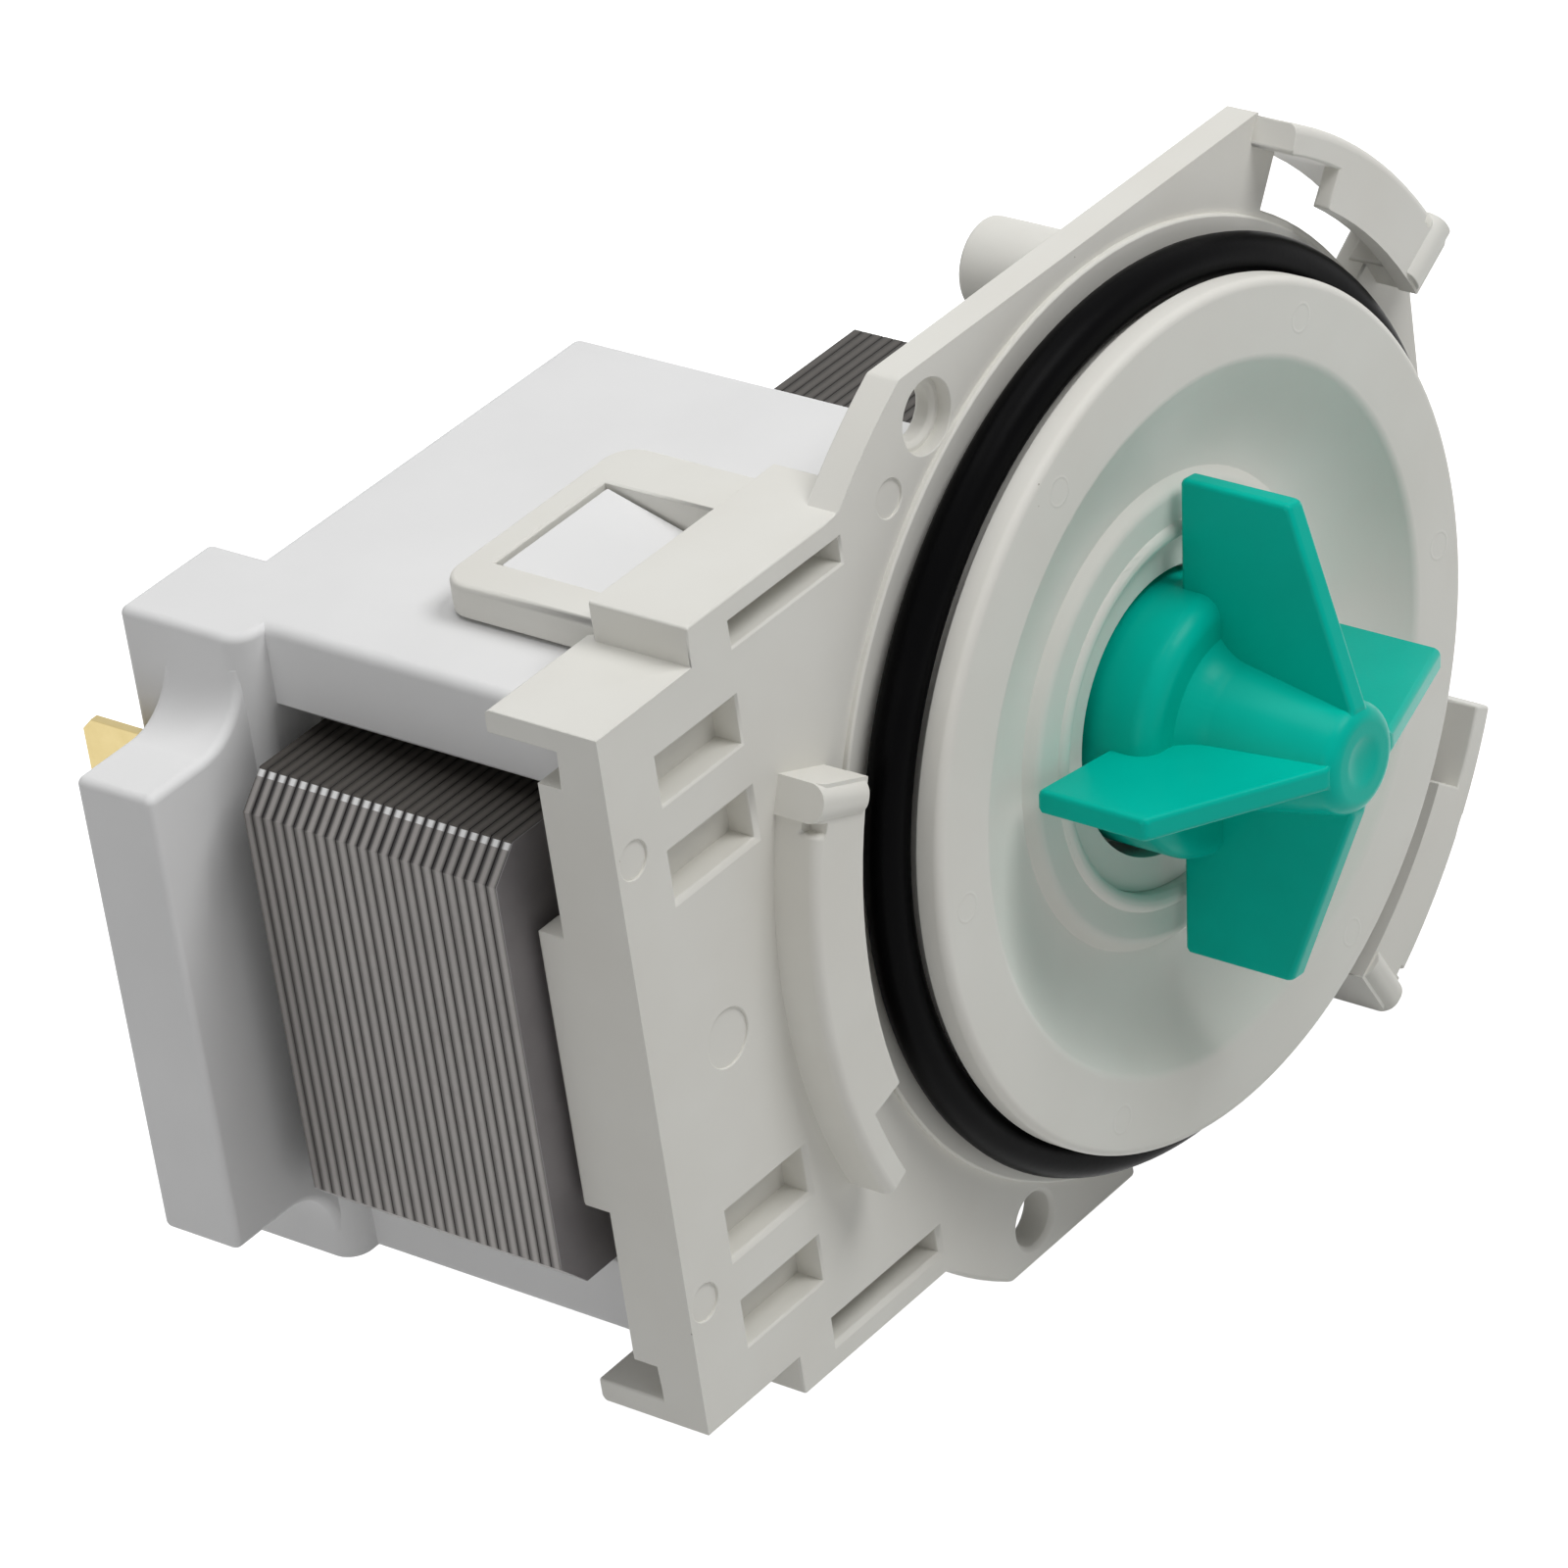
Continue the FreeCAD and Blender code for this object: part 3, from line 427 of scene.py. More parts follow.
# %% Moulded plastics
MOTTLE_LOW, MOTTLE_HIGH = 0.3, 0.7
GRAIN_DEPTH = 0.02 * MM
PLASTIC_SHINE = 0.13
DUST = (0.45, 0.42, 0.37, 1)


def moulded(slot, light, dark, rough, grain, grain_scale=GRAIN_SCALE, mottle=MOTTLE_SCALE, specks=0.0,
            shine=PLASTIC_SHINE, pins=False):
    """Moulded plastic or rubber between two tones and between two roughnesses."""
    tree, shader = new_material(slot)
    surface = group_node(tree, MOULD_GRAIN, Grain_Scale=grain_scale, Mottle_Scale=mottle)
    tone = map_range(tree, surface["Mottle"], 0.0, 1.0, MOTTLE_LOW, MOTTLE_HIGH)
    colour = mix_colours(tree, tone, light, dark)
    if specks:
        dots = group_node(tree, SPECKS, Scale=SPECK_SCALE, Amount=specks)
        colour = mix_colours(tree, dots["Mask"], colour, DUST)
    normal = bump(tree, surface["Height"], grain, GRAIN_DEPTH)
    if pins:
        normal = bump(tree, group_node(tree, PIN_MARKS)["Mask"], PIN_STRENGTH, PIN_DEPTH, normal)
    feed(tree, shader.inputs["Base Color"], colour)
    feed(tree, shader.inputs["Roughness"], map_range(tree, surface["Mottle"], *rough))
    feed(tree, shader.inputs["Normal"], normal)
    feed(tree, shader.inputs["Specular IOR Level"], shine)


moulded("flange_plastic", srgb(231, 230, 224), srgb(226, 224, 217), rough=(0.36, 0.54), grain=0.25,
        specks=0.08, pins=True)
moulded("casing_plastic", srgb(236, 236, 236), srgb(231, 231, 231), rough=(0.45, 0.6), grain=0.2)
moulded("impeller_plastic", srgb(0, 190, 171), srgb(0, 178, 159), rough=(0.24, 0.36), grain=0.25, shine=0.08)
moulded("dog_plastic", srgb(70, 70, 72), srgb(58, 58, 60), rough=(0.5, 0.65), grain=0.3)
moulded("bobbin_plastic", srgb(232, 231, 224), srgb(224, 223, 214), rough=(0.5, 0.65), grain=0.3)
moulded("washer_plastic", srgb(216, 200, 160), srgb(204, 186, 146), rough=(0.5, 0.65), grain=0.3)
moulded("black_rubber", srgb(7, 7, 8), srgb(4, 4, 5), rough=(0.32, 0.44), grain=0.5, grain_scale=1500.0,
        mottle=140.0, shine=0.03)
moulded("bearing_ceramic", srgb(238, 236, 232), srgb(228, 226, 222), rough=(0.2, 0.35), grain=0.1)
print("plastics", list(MATERIALS))

# %% [markdown]
# The core's sheets are punched from one coil of steel, but each cut edge shines a little differently: the
# middle of the cut is sheared and bright, the rest is torn and dull. The fraction of the place within one
# sheet's pitch draws that bright line: its centre, and where it starts and ends to fade, are shares of the
# pitch. A White Noise node that reads the sheet's number gives each its own tone, and fine noise gives the
# scratches. Painted shade darkens the torn parts on the cut corner, which looks up, within a band under the
# top where the casing's roof shades the core, and painted shade darkens the tops of the sheets too. A painted
# highlight makes the sheared line bright at each top corner, as a glint, and the outermost sheet shows its
# rolled face.

# %% Steel of the core
SHEET_PITCH = 1.0 * MM
SHEAR_CENTRE = 0.42
SHEAR_FADE_START = 0.12
SHEAR_FADE_END = 0.384
SCRATCH_SCALE = 900.0
SCRATCH_LOW, SCRATCH_HIGH = 0.55, 0.85
SCRATCH_SHARE = 0.22
SCRATCH_STRENGTH = 0.3
SCRATCH_DEPTH = 0.03 * MM
PATCH_SCALE = 120.0
SHEET_SHARE = 0.2
SHEET_ROUGHNESS = (0.4, 0.6)
SHEET_METALLIC = 0.3
# Bands under the top of the core: painted shade on the tops, a painted glint, and painted shade on the torn
# parts.
TOP_BAND = 0.12 * MM
PAINTED_GLINT_BAND = 0.5 * MM
CHAMFER_BAND = 2.5 * MM
FACE_BAND = 0.05 * MM
SHEARED = (srgb(133, 129, 127), srgb(158, 154, 151))
TORN = srgb(76, 73, 71)
# Painted shade: the torn parts in the band under the top, where the casing's roof shades the core, take this
# darker colour.
TORN_IN_PAINTED_SHADE = srgb(40, 38, 38)
DULL = srgb(88, 83, 79)
# Painted highlight: a bright glint on the sheared line near each top corner.
PAINTED_GLINT = srgb(216, 216, 216)
# Painted shade: the tops of the sheets lie under the casing's roof and are darkened with these two tones.
PAINTED_TOP_SHADE = (srgb(46, 43, 40), srgb(74, 70, 66))
ROLLED = (srgb(119, 115, 116), srgb(152, 148, 150))


def sheet_steel(slot):
    """Cut edges of varnished steel sheets, stacked along Y."""
    tree, shader = new_material(slot)
    place = object_place(tree)
    split = tree.nodes.new("ShaderNodeSeparateXYZ")
    feed(tree, split.inputs[0], place)
    core_low, core_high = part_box("core_laminations")
    along = math_node(tree, "SUBTRACT", split.outputs["Y"], core_low.y)
    below_top = math_node(tree, "SUBTRACT", core_high.z, split.outputs["Z"])
    sheets = math_node(tree, "DIVIDE", along, SHEET_PITCH)
    within = math_node(tree, "FRACT", sheets)
    from_centre = math_node(tree, "ABSOLUTE", math_node(tree, "SUBTRACT", within, SHEAR_CENTRE))
    sheared = map_range(tree, from_centre, 1.0, 0.0, SHEAR_FADE_START, SHEAR_FADE_END)
    tone = tree.nodes.new("ShaderNodeTexWhiteNoise")
    tone.noise_dimensions = "1D"
    feed(tree, tone.inputs["W"], math_node(tree, "FLOOR", sheets))
    scratch = noise_node(tree, place, SCRATCH_SCALE, detail=4.0, roughness=0.7)
    patches = noise_node(tree, place, PATCH_SCALE, detail=3.0, roughness=0.6)
    mixed = math_node(tree, "ADD", math_node(tree, "MULTIPLY", tone.outputs["Value"], SHEET_SHARE),
                      math_node(tree, "MULTIPLY", patches, 1 - SHEET_SHARE))
    # Painted shade: within the band under the top the torn parts take a darker colour.
    torn_and_painted_shade = mix_colours(tree, math_node(tree, "LESS_THAN", below_top, CHAMFER_BAND), TORN, TORN_IN_PAINTED_SHADE)
    colour = mix_colours(tree, sheared, torn_and_painted_shade, mix_colours(tree, mixed, *SHEARED))
    scratched = map_range(tree, scratch, 0.0, SCRATCH_SHARE, SCRATCH_LOW, SCRATCH_HIGH)
    colour = mix_colours(tree, scratched, colour, DULL)
    # Painted highlight: the sheared line turns bright near the top, as a glint.
    glint_mask = math_node(tree, "MULTIPLY", math_node(tree, "LESS_THAN", below_top, PAINTED_GLINT_BAND), sheared)
    colour = mix_colours(tree, glint_mask, colour, PAINTED_GLINT)
    # Painted shade darkens the tops of the sheets.
    on_top = math_node(tree, "LESS_THAN", below_top, TOP_BAND)
    colour = mix_colours(tree, on_top, colour, mix_colours(tree, sheared, *PAINTED_TOP_SHADE))
    on_face = math_node(tree, "LESS_THAN", along, FACE_BAND)
    colour = mix_colours(tree, on_face, colour, mix_colours(tree, patches, *ROLLED))
    feed(tree, shader.inputs["Base Color"], colour)
    feed(tree, shader.inputs["Metallic"], SHEET_METALLIC)
    feed(tree, shader.inputs["Roughness"], map_range(tree, scratch, *SHEET_ROUGHNESS))
    feed(tree, shader.inputs["Normal"], bump(tree, scratch, SCRATCH_STRENGTH, SCRATCH_DEPTH))


sheet_steel("core_steel")
print("steel of", round(1 / (SHEET_PITCH / MM), 2), "sheets to the millimetre")

# %% [markdown]
# The other metals are plainer: ground steel, sintered magnet, brass and enamelled copper. A cloudy noise
# moves their tone and gloss a little, as handling leaves them.

# %% Other metals
CLOUD_SCALE = 400.0
CLOUD_STRENGTH = 0.15
CLOUD_DEPTH = 0.02 * MM
GLOSS_SPREAD = 0.08


def plain_metal(slot, light, dark, rough, metallic=1.0, scale=CLOUD_SCALE):
    """Metal with a fine, cloudy change of tone and gloss."""
    tree, shader = new_material(slot)
    cloud = noise_node(tree, object_place(tree), scale, detail=4.0, roughness=0.6)
    feed(tree, shader.inputs["Base Color"], mix_colours(tree, cloud, light, dark))
    feed(tree, shader.inputs["Metallic"], metallic)
    gloss = map_range(tree, cloud, rough - GLOSS_SPREAD, rough + GLOSS_SPREAD)
    feed(tree, shader.inputs["Roughness"], gloss)
    feed(tree, shader.inputs["Normal"], bump(tree, cloud, CLOUD_STRENGTH, CLOUD_DEPTH))


plain_metal("shaft_steel", srgb(200, 200, 204), srgb(170, 170, 176), rough=0.22)
plain_metal("magnet_ferrite", srgb(72, 72, 76), srgb(50, 50, 54), rough=0.5, metallic=0.3)
plain_metal("terminal_brass", srgb(204, 187, 138), srgb(188, 169, 116), rough=0.34)
plain_metal("copper_wire", srgb(178, 92, 36), srgb(142, 62, 20), rough=0.3, metallic=0.85, scale=900.0)
print("finishes", len(MATERIALS))

# %% [markdown]
# Every CAD node first gets the material of its slot. The solids that stay as they are, such as the bearings
# and the rotor inside the can, need nothing more.

# %% Give each node its finish
SLOTS = {part["node"]: part["material_slot"] for part in frame["record"]["subparts"]}
for node_name, node in frame["nodes"].items():
    node.data.materials.clear()
    node.data.materials.append(MATERIALS[SLOTS[node_name]])
print("finished nodes", len(SLOTS))

# %% [markdown]
# A new piece rides on the body of the node that it dresses and takes that node's finish. Most pieces also
# stand for their node, which is then hidden. A piece is smooth up to an angle, or has normals of its own.

# %% New pieces
BODIES = {node_name: body for body, members in frame["record"]["behaviour"]["bodies"].items()
          for node_name in members}


def new_piece(name, bm, node_name, stands_in=True, smooth_limit=40, normals=None):
    """Object made from a bmesh, with the body and the finish of a node."""
    mesh = bpy.data.meshes.new(name)
    bm.to_mesh(mesh)
    bm.free()
    mesh.shade_smooth()
    if normals:
        mesh.normals_split_custom_set(normals)
    else:
        mesh.set_sharp_from_angle(angle=math.radians(smooth_limit))
    mesh.materials.append(MATERIALS[SLOTS[node_name]])
    piece = bpy.data.objects.new(name, mesh)
    scene.collection.objects.link(piece)
    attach(piece, BODIES[node_name])
    if stands_in:
        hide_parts(node_name)
    print(name, "faces", len(mesh.polygons))


# %% [markdown]
# No moulding has a knife edge: the tool's corners leave a small round on each. The solids have sharp edges,
# so the big mouldings are copied and their edges rounded with the bevel operator. A node's mesh is loose
# triangles, and a bevel needs whole faces, so the copy is merged and its flat stretches dissolved first.

# %% Merged copy of a node
MERGE = 0.002 * MM
FLAT_LIMIT = math.radians(0.1)


def merged_copy(node_name):
    """The node's mesh as a bmesh with its triangles merged into whole faces."""
    bm = bmesh.new()
    bm.from_mesh(frame["nodes"][node_name].data)
    bmesh.ops.remove_doubles(bm, verts=bm.verts, dist=MERGE)
    bmesh.ops.dissolve_degenerate(bm, dist=MERGE, edges=bm.edges)
    bmesh.ops.dissolve_limit(bm, angle_limit=FLAT_LIMIT, verts=bm.verts, edges=bm.edges)
    return bm


sample = merged_copy("mounting_flange")
print("the flange's triangles merge into", len(sample.faces), "faces")

# %% [markdown]
# Where short edges crowd together, a bevel runs past its neighbours. Such places show as folds, as triangles
# that face against their own polygon, or as polygons that are no longer flat. These tests find them.

# %% Places where a bevel goes wrong
FOLD_LIMIT = math.radians(150)
TURNED_AREA = 0.02 * MM * MM
BENT_AREA = 0.8 * MM * MM
BENT_LIMIT = 0.02 * MM


def folds_of(bm):
    """Middles of the edges at which the surface doubles back."""
    return [(edge.verts[0].co + edge.verts[1].co) / 2 for edge in bm.edges
            if edge.is_manifold and edge.calc_face_angle(0) > FOLD_LIMIT]


def turned_over(bm):
    """Corners of the triangles that face against their own polygon."""
    bm.normal_update()
    found = []
    for loops in bm.calc_loop_triangles():
        corners = [loop.vert.co for loop in loops]
        across = (corners[1] - corners[0]).cross(corners[2] - corners[0])
        if across.length > TURNED_AREA and across.dot(loops[0].face.normal) < 0:
            found += [corner.copy() for corner in corners]
    return found


def bent(bm):
    """Corners that lie off the plane of their polygon."""
    found = []
    for face in bm.faces:
        if face.calc_area() > BENT_AREA:
            levels = [face.normal.dot(vert.co) for vert in face.verts]
            middle = sorted(levels)[len(levels) // 2]
            found += [vert.co.copy() for vert, level in zip(face.verts, levels)
                      if abs(level - middle) > BENT_LIMIT]
    return found


def wrong_places(bm):
    return folds_of(bm) + turned_over(bm) + bent(bm)


print("wrong places before any bevel", len(wrong_places(sample)))

# %% [markdown]
# Only outer edges are rounded, and only where they turn sharply enough. Edges that follow one another in
# line or along a bend form a curve. A curve is rounded as a whole or not at all, so that no rim changes its
# round halfway.

# %% Sharp edges and their curves
EDGE_LIMIT = math.radians(32)
CURVE_TURN = math.radians(35)
STRAIGHT_TURN = math.radians(12)


def sharp_edges(bm):
    """Outer edges that turn by more than the limit."""
    return [edge for edge in bm.edges if edge.is_manifold and edge.is_convex
            and edge.calc_face_angle(0) > EDGE_LIMIT]


def curves_of(bm):
    """For each sharp edge, the numbers of all sharp edges on the same smooth curve."""
    parent = {edge.index: edge.index for edge in sharp_edges(bm)}

    def first_of(number):
        while parent[number] != number:
            number = parent[number]
        return number

    for vert in bm.verts:
        meeting = [edge for edge in vert.link_edges if edge.index in parent]
        limit = CURVE_TURN if len(meeting) == 2 else STRAIGHT_TURN
        for one, other in combinations(meeting, 2):
            along = [edge.other_vert(vert).co - vert.co for edge in (one, other)]
            if math.pi - along[0].angle(along[1], 0) < limit:
                parent[first_of(one.index)] = first_of(other.index)
    members = {}
    for number in parent:
        members.setdefault(first_of(number), set()).add(number)
    return {number: members[first_of(number)] for number in parent}


print("sharp edges of the flange", len(sharp_edges(sample)))
sample.free()

# %% [markdown]
# One try bevels a copy of the mesh. A bevel that runs past its neighbours also leaves points far from the
# old surface, so these count as wrong places too. The strips that the bevel makes are marked in a layer,
# which the normals need later.

# %% One try of a bevel
FAR_SHARE = 0.75
STRIP = "rounded_strip"


def bevelled(start, width, segments, left_out):
    """Bevelled copy of a bmesh, the ends of each rounded edge, and the places where the bevel went wrong."""
    bm = start.copy()
    sharp = [edge for edge in sharp_edges(bm) if edge.index not in left_out]
    runs = [(edge.index, edge.verts[0].co.copy(), edge.verts[1].co.copy()) for edge in sharp]
    surface = BVHTree.FromBMesh(start)
    grown = bmesh.ops.bevel(bm, geom=sharp, offset=width, offset_type="OFFSET", segments=segments,
                            profile=0.5, affect="EDGES", clamp_overlap=False, material=-1,
                            loop_slide=False)
    strip = bm.faces.layers.int[STRIP]
    for face in grown["faces"]:
        face[strip] = 1
    far = [vert.co.copy() for vert in bm.verts if surface.find_nearest(vert.co)[3] > width * FAR_SHARE]
    return bm, runs, far + wrong_places(bm)


print("strips are marked in the layer", STRIP)

# %% [markdown]
# The bevel is tried on all sharp edges but those of very short curves. Curves that pass by a wrong place
# are then left out, and the bevel is done again, until no more places are wrong than before it or the tries
# are used up.

# %% Bevel that tries again
CROWD_SHARE = 1.6
TRIES = 14
SHORTEST_CURVE = 1.0 * MM


def crowded(runs, wrong, reach):
    """Edges that pass within reach of a wrong place."""
    tree = KDTree(len(wrong))
    for index, place in enumerate(wrong):
        tree.insert(place, index)
    tree.balance()
    found = set()
    for number, first, last in runs:
        steps = max(1, math.ceil((last - first).length / reach))
        if any(tree.find(first.lerp(last, step / steps))[2] < reach for step in range(steps + 1)):
            found.add(number)
    return found


def round_edges(start, width, segments=2):
    """The bmesh with its sharp edges rounded, apart from those where edges crowd together."""
    start.edges.index_update()
    start.edges.ensure_lookup_table()
    old_wrong = len(wrong_places(start))
    curves = curves_of(start)
    left_out = {number for number, curve in curves.items()
                if sum(start.edges[member].calc_length() for member in curve) < SHORTEST_CURVE}
    for attempt in range(TRIES):
        bm, runs, wrong = bevelled(start, width, segments, left_out)
        if len(wrong) <= old_wrong:
            break
        more = crowded(runs, wrong, width * CROWD_SHARE)
        if not more or attempt == TRIES - 1:
            break
        for number in more:
            left_out |= curves[number]
        bm.free()
    start.free()
    print("width", round(width / MM, 2), "rounded", len(runs), "left for later", len(left_out))
    return bm


print("a bevel has", TRIES, "tries")

# %% [markdown]
# The normals are then set corner by corner: an old face keeps its own, and the rounded strips lead from the
# normal of one old face to the next. That keeps flat walls flat right up to their rounded edges.

# %% Normals of the corners
SAME_WALL = math.cos(math.radians(31))
SAME_ROUND = math.cos(math.radians(70))


def corner_normals(bm):
    """Normal of each face corner, in the order of the mesh."""
    bm.normal_update()
    bm.faces.index_update()
    strip = bm.faces.layers.int[STRIP]
    weighted = [face.normal * face.calc_area() for face in bm.faces]

    def wall(vert, like):
        """Sum over the old faces at a corner that belong to the same wall."""
        return sum((weighted[face.index] for face in vert.link_faces
                    if not face[strip] and face.normal.dot(like.normal) > SAME_WALL), Vector())

    normals = []
    for face in bm.faces:
        for loop in face.loops:
            vert = loop.vert
            if face[strip]:
                beside = [other for edge in (loop.edge, loop.link_loop_prev.edge) for other in edge.link_faces
                          if not other[strip]]
                total = sum((wall(vert, other).normalized() for other in beside), Vector())
                if not beside:
                    total = sum((weighted[other.index] for other in vert.link_faces
                                 if other[strip] and other.normal.dot(face.normal) > SAME_ROUND), Vector())
            else:
                total = wall(vert, face)
            normals.append(total.normalized() if total.length else face.normal.copy())
    return normals


print("one wall turns by less than", round(math.degrees(math.acos(SAME_WALL))), "degrees")

# %% [markdown]
# The big mouldings are rounded with the widest bevel first. What it leaves out gets a narrower one, so large
# corners look soft and small lips still have an edge that catches the light.

# %% Rounded mouldings


def rounded(node_name, widths, name, segments=2, prepare=None):
    """Copy of a node with rounded edges, the widest bevel first."""
    bm = merged_copy(node_name)
    if prepare:
        prepare(bm)
    bm.faces.layers.int.new(STRIP)
    for width in widths:
        bm = round_edges(bm, width, segments)
    new_piece(name, bm, node_name, normals=corner_normals(bm))


rounded("mounting_flange", (0.45 * MM, 0.22 * MM, 0.1 * MM), "flange_moulding")
rounded("coil_casing", (0.4 * MM, 0.2 * MM, 0.1 * MM), "casing_moulding")
rounded("impeller", (0.5 * MM, 0.22 * MM, 0.1 * MM), "impeller_moulding")
rounded("upper_bobbin", (0.2 * MM,), "upper_bobbin_moulding")
rounded("lower_bobbin", (0.2 * MM,), "lower_bobbin_moulding")

# %% [markdown]
# The sheets of the core are punched, which leaves a small round along their edges. At the size of the
# picture it is only a glint, and a very narrow bevel gives it. On the real core varnish fills the joints,
# while the solids have an air gap there. So the rear face of each sheet is carried on to the next first.

# %% Core sheets
SHEET_THICKNESS = 0.84 * MM
JOINT = 0.02 * MM
PITCH_SLACK = 0.05


def closed_joints(bm):
    """Carries the rear face of each sheet but the last almost on to the next sheet."""
    core_low, core_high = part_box("core_laminations")
    for vert in bm.verts:
        along = vert.co.y - core_low.y
        within = along - SHEET_PITCH * math.floor(along / SHEET_PITCH + PITCH_SLACK)
        if within > SHEET_THICKNESS / 2 and vert.co.y < core_high.y - SHEET_THICKNESS / 2:
            vert.co.y += SHEET_PITCH - SHEET_THICKNESS - JOINT


rounded("core_laminations", (0.07 * MM,), "core_sheets", 1, closed_joints)

# %% [markdown]
# The O-ring is a turned shape: a circle on the ring's own section, with the thin flash that the two halves of
# its mould leave, spun once round the pump axis by the spin operator. Its size is read from its solid.

# %% O-ring
FLASH_HEIGHT = 0.06 * MM
FLASH_HALF_ANGLE = 7
SEAL_SIDES = 28
SEAL_STEPS = 160


def closed_outline(bm, points):
    """Edges of a closed outline through the points."""
    verts = [bm.verts.new(point) for point in points]
    return [bm.edges.new(pair) for pair in zip(verts, verts[1:] + verts[:1])]


def spun_ring(profile, steps):
    """Full turn round the pump axis of a closed profile of (radius, y) points."""
    bm = bmesh.new()
    closed_outline(bm, [(radius, y, 0) for radius, y in profile])
    bmesh.ops.spin(bm, geom=bm.verts[:] + bm.edges[:], axis=(0, 1, 0), cent=(0, 0, 0), angle=math.tau,
                   steps=steps, use_merge=True)
    bmesh.ops.remove_doubles(bm, verts=bm.verts, dist=MERGE)
    bmesh.ops.recalc_face_normals(bm, faces=bm.faces)
    return bm


seal_low, seal_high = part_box("spigot_seal")
section = (seal_high.y - seal_low.y) / 2
section_centre = (seal_high.z - section, (seal_high.y + seal_low.y) / 2)
ring_profile = []
for step in range(SEAL_SIDES):
    angle = 360 * step / SEAL_SIDES
    on_flash = min(angle, 360 - angle) < FLASH_HALF_ANGLE or abs(angle - 180) < FLASH_HALF_ANGLE
    ring_profile.append(around(section_centre, section if on_flash else section - FLASH_HEIGHT, angle))
new_piece("seal_ring", spun_ring(ring_profile, SEAL_STEPS), "spigot_seal", smooth_limit=60)

# %% [markdown]
# The rim of the front disc is the roundest line in the picture, so it gets a skin of its own, spun in finer
# steps than the solid's facets. It stands proud of them by a hundredth of a millimetre.

# %% Rim of the front disc
RIM_RADIUS = 34.0 * MM
RIM_FRONT = -6.5 * MM
RIM_BACK = -4.3 * MM
RIM_ROUND = 0.7 * MM
RIM_BACK_ROUND = 0.15 * MM
RIM_PROUD = 0.012 * MM
RIM_INSET = 0.6 * MM
RIM_SINK = 0.02 * MM
RIM_STEPS = 300
ROUND_STEPS = 8


def quarter(centre, reach, first):
    """Points of a quarter circle, from an angle on."""
    return [around(centre, reach, first + 90 * step / ROUND_STEPS) for step in range(ROUND_STEPS + 1)]


inside = RIM_RADIUS - RIM_ROUND - RIM_INSET
front_centre = (RIM_RADIUS - RIM_ROUND, RIM_FRONT + RIM_ROUND)
back_centre = (RIM_RADIUS - RIM_BACK_ROUND, RIM_BACK - RIM_BACK_ROUND)
rim_profile = [(inside, RIM_FRONT + RIM_SINK)]
rim_profile += quarter(front_centre, RIM_ROUND + RIM_PROUD, -90)
rim_profile += quarter(back_centre, RIM_BACK_ROUND + RIM_PROUD, 0)
rim_profile += [(RIM_RADIUS - RIM_ROUND, RIM_BACK - RIM_SINK), (inside, RIM_BACK - RIM_ROUND)]
new_piece("disc_rim", spun_ring(rim_profile, RIM_STEPS), "mounting_flange", stands_in=False)

# %% [markdown]
# Each winding is a bundle of enamelled wire. The outermost layer is modelled as one wire that runs round the
# bobbin turn by turn, and the layers below it as a plain body. Both follow a rounded rectangle, so its points
# come first, each with the direction that leads outwards there.

# %% Path round a bobbin
CORNER_STEPS = 5


def rounded_rectangle(half_y, half_z, corner):
    """Points and outward directions of a rounded rectangle in the YZ plane."""
    path = []
    for number in range(4):
        sign_y = (1, -1, -1, 1)[number]
        sign_z = (1, 1, -1, -1)[number]
        for step in range(CORNER_STEPS + 1):
            out = around((0, 0), 1, 90 * number + 90 * step / CORNER_STEPS)
            path.append(((sign_y * (half_y - corner) + corner * out[0],
                          sign_z * (half_z - corner) + corner * out[1]), out))
    return path


print("points on one turn", len(rounded_rectangle(2, 2, 1)))

# %% [markdown]
# The wire is a tube: a small ring of points at each step of the path, a little further along each time, and
# faces from ring to ring. A curve object with a bevel would do as well, but its turns would need one point
# for each step all the same.

# %% Wire
WIRE = 0.4 * MM
WIRE_SIDES = 6


def wire_tube(bm, low, middle, path, turns, pitch):
    """Tube that runs round the path once in each turn and moves on by the pitch."""
    radius = WIRE / 2
    rings = []
    for index in range(turns * len(path) + 1):
        (y, z), (out_y, out_z) = path[index % len(path)]
        x = low.x + radius + pitch * index / len(path)
        ring = []
        for side in range(WIRE_SIDES):
            across, lift = around((x, 0), radius, 360 * side / WIRE_SIDES)
            ring.append(bm.verts.new((across, middle.y + y + out_y * lift, middle.z + z + out_z * lift)))
        rings.append(ring)
    for first, second in zip(rings, rings[1:]):
        for side in range(WIRE_SIDES):
            following = (side + 1) % WIRE_SIDES
            bm.faces.new((first[side], first[following], second[following], second[side]))
    bm.faces.new(rings[0])
    bm.faces.new(rings[-1])


print("wire", round(WIRE / MM, 2), "mm across, with", WIRE_SIDES, "sides")

# %% [markdown]
# The layers below the outermost one don't show, so one sleeve stands for them: two outlines, joined by the
# bridge operator and thickened by an extrusion. The number of turns follows from the winding's length.

# %% Windings
CORNER = 3.6 * MM
WINDING_DEPTH = 3.35 * MM


def winding_body(bm, low, high, middle, outlines):
    """Sleeve between two outlines, as long as the winding."""
    edges = []
    for outline in outlines:
        edges += closed_outline(bm, [(low.x, middle.y + y, middle.z + z) for (y, z), _ in outline])
    end = bmesh.ops.bridge_loops(bm, edges=edges)
    grown = bmesh.ops.extrude_face_region(bm, geom=end["faces"])
    moved = [item for item in grown["geom"] if isinstance(item, bmesh.types.BMVert)]
    bmesh.ops.translate(bm, vec=(high.x - low.x, 0, 0), verts=moved)


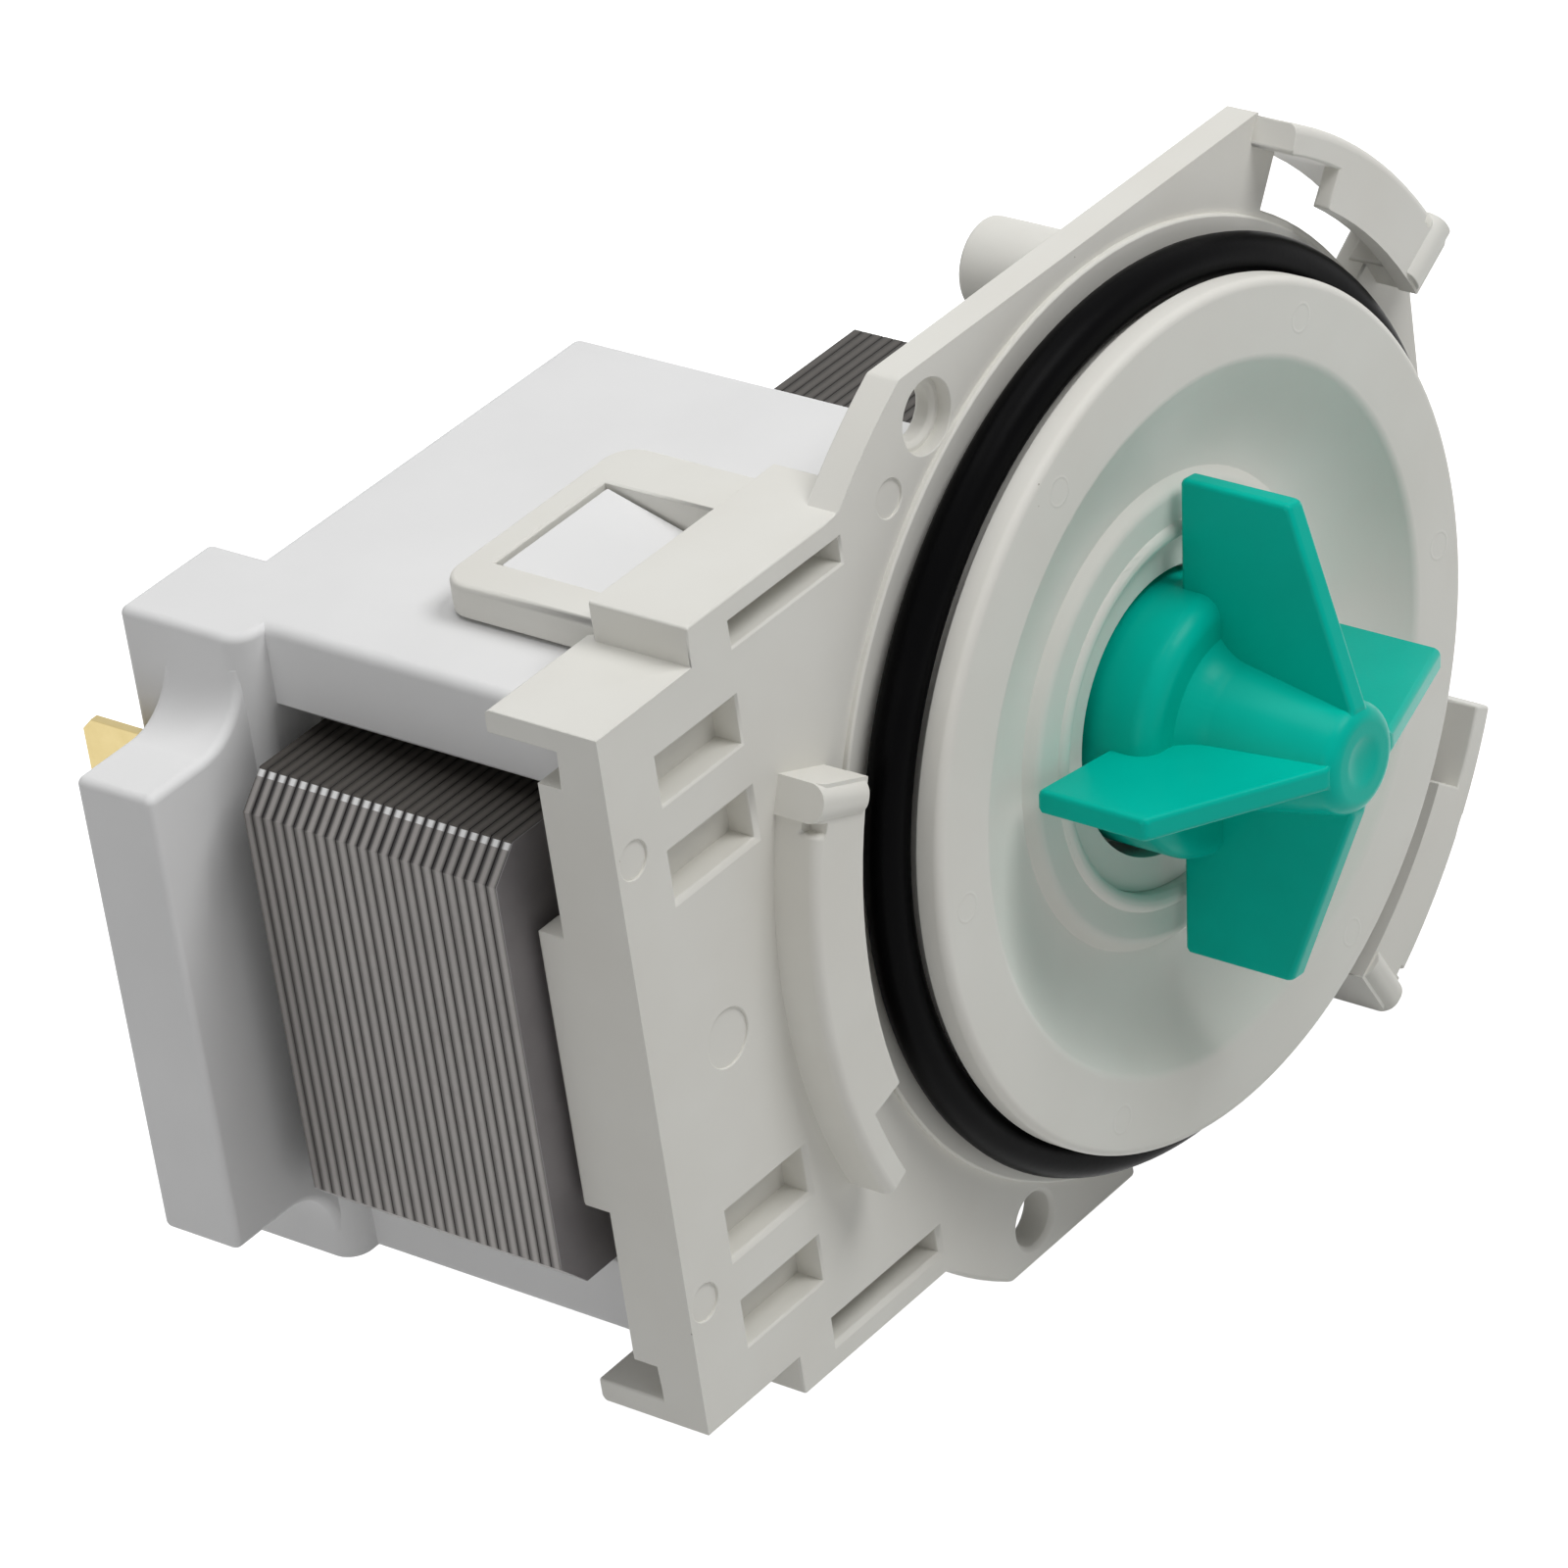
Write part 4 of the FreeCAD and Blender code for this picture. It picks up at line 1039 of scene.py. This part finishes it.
def winding(node_name, name):
    low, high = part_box(node_name)
    middle, half = (low + high) / 2, (high - low) / 2
    radius = WIRE / 2
    turns = int((high.x - low.x) / WIRE)
    pitch = (high.x - low.x - WIRE) / turns
    bm = bmesh.new()
    path = rounded_rectangle(half.y - radius, half.z - radius, CORNER - radius)
    wire_tube(bm, low, middle, path, turns, pitch)
    outer = rounded_rectangle(half.y - WIRE, half.z - WIRE, CORNER - WIRE)
    inner = rounded_rectangle(half.y - WINDING_DEPTH, half.z - WINDING_DEPTH, WIRE)
    winding_body(bm, low, high, middle, (outer, inner))
    bmesh.ops.recalc_face_normals(bm, faces=bm.faces)
    print(name, "turns", turns)
    new_piece(name, bm, node_name, smooth_limit=70)


winding("upper_winding", "upper_wire")
winding("lower_winding", "lower_wire")

# %% [markdown]
# A spade terminal is stamped from sheet: its tip is bevelled, and a small hole lets the plug's nib snap in.
# The outline and the hole are drawn as two loops, filled, and thickened by an extrusion.

# %% Spade terminals
TAB_HOLE = 0.85 * MM
TAB_HOLE_FROM_TIP = 3.4 * MM
TAB_TIP_CUT = 1.0 * MM
TAB_EDGE = 0.1 * MM
HOLE_SIDES = 24


def spade(node_name, name):
    low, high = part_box(node_name)
    cut = TAB_TIP_CUT
    outline = [(low.y, low.z), (high.y - cut, low.z), (high.y, low.z + cut), (high.y, high.z - cut),
               (high.y - cut, high.z), (low.y, high.z)]
    centre = (high.y - TAB_HOLE_FROM_TIP, (low.z + high.z) / 2)
    hole = [around(centre, TAB_HOLE, 360 * step / HOLE_SIDES) for step in range(HOLE_SIDES)]
    bm = bmesh.new()
    edges = []
    for loop in (outline, hole):
        edges += closed_outline(bm, [(low.x, y, z) for y, z in loop])
    bmesh.ops.triangle_fill(bm, use_beauty=True, edges=edges)
    bmesh.ops.dissolve_limit(bm, angle_limit=FLAT_LIMIT, verts=bm.verts, edges=bm.edges)
    grown = bmesh.ops.extrude_face_region(bm, geom=bm.faces[:])
    moved = [item for item in grown["geom"] if isinstance(item, bmesh.types.BMVert)]
    bmesh.ops.translate(bm, vec=(high.x - low.x, 0, 0), verts=moved)
    bmesh.ops.recalc_face_normals(bm, faces=bm.faces)
    bm.faces.layers.int.new(STRIP)
    bm = round_edges(bm, TAB_EDGE)
    new_piece(name, bm, node_name, normals=corner_normals(bm))


spade("upper_terminal", "upper_spade")
spade("lower_terminal", "lower_spade")
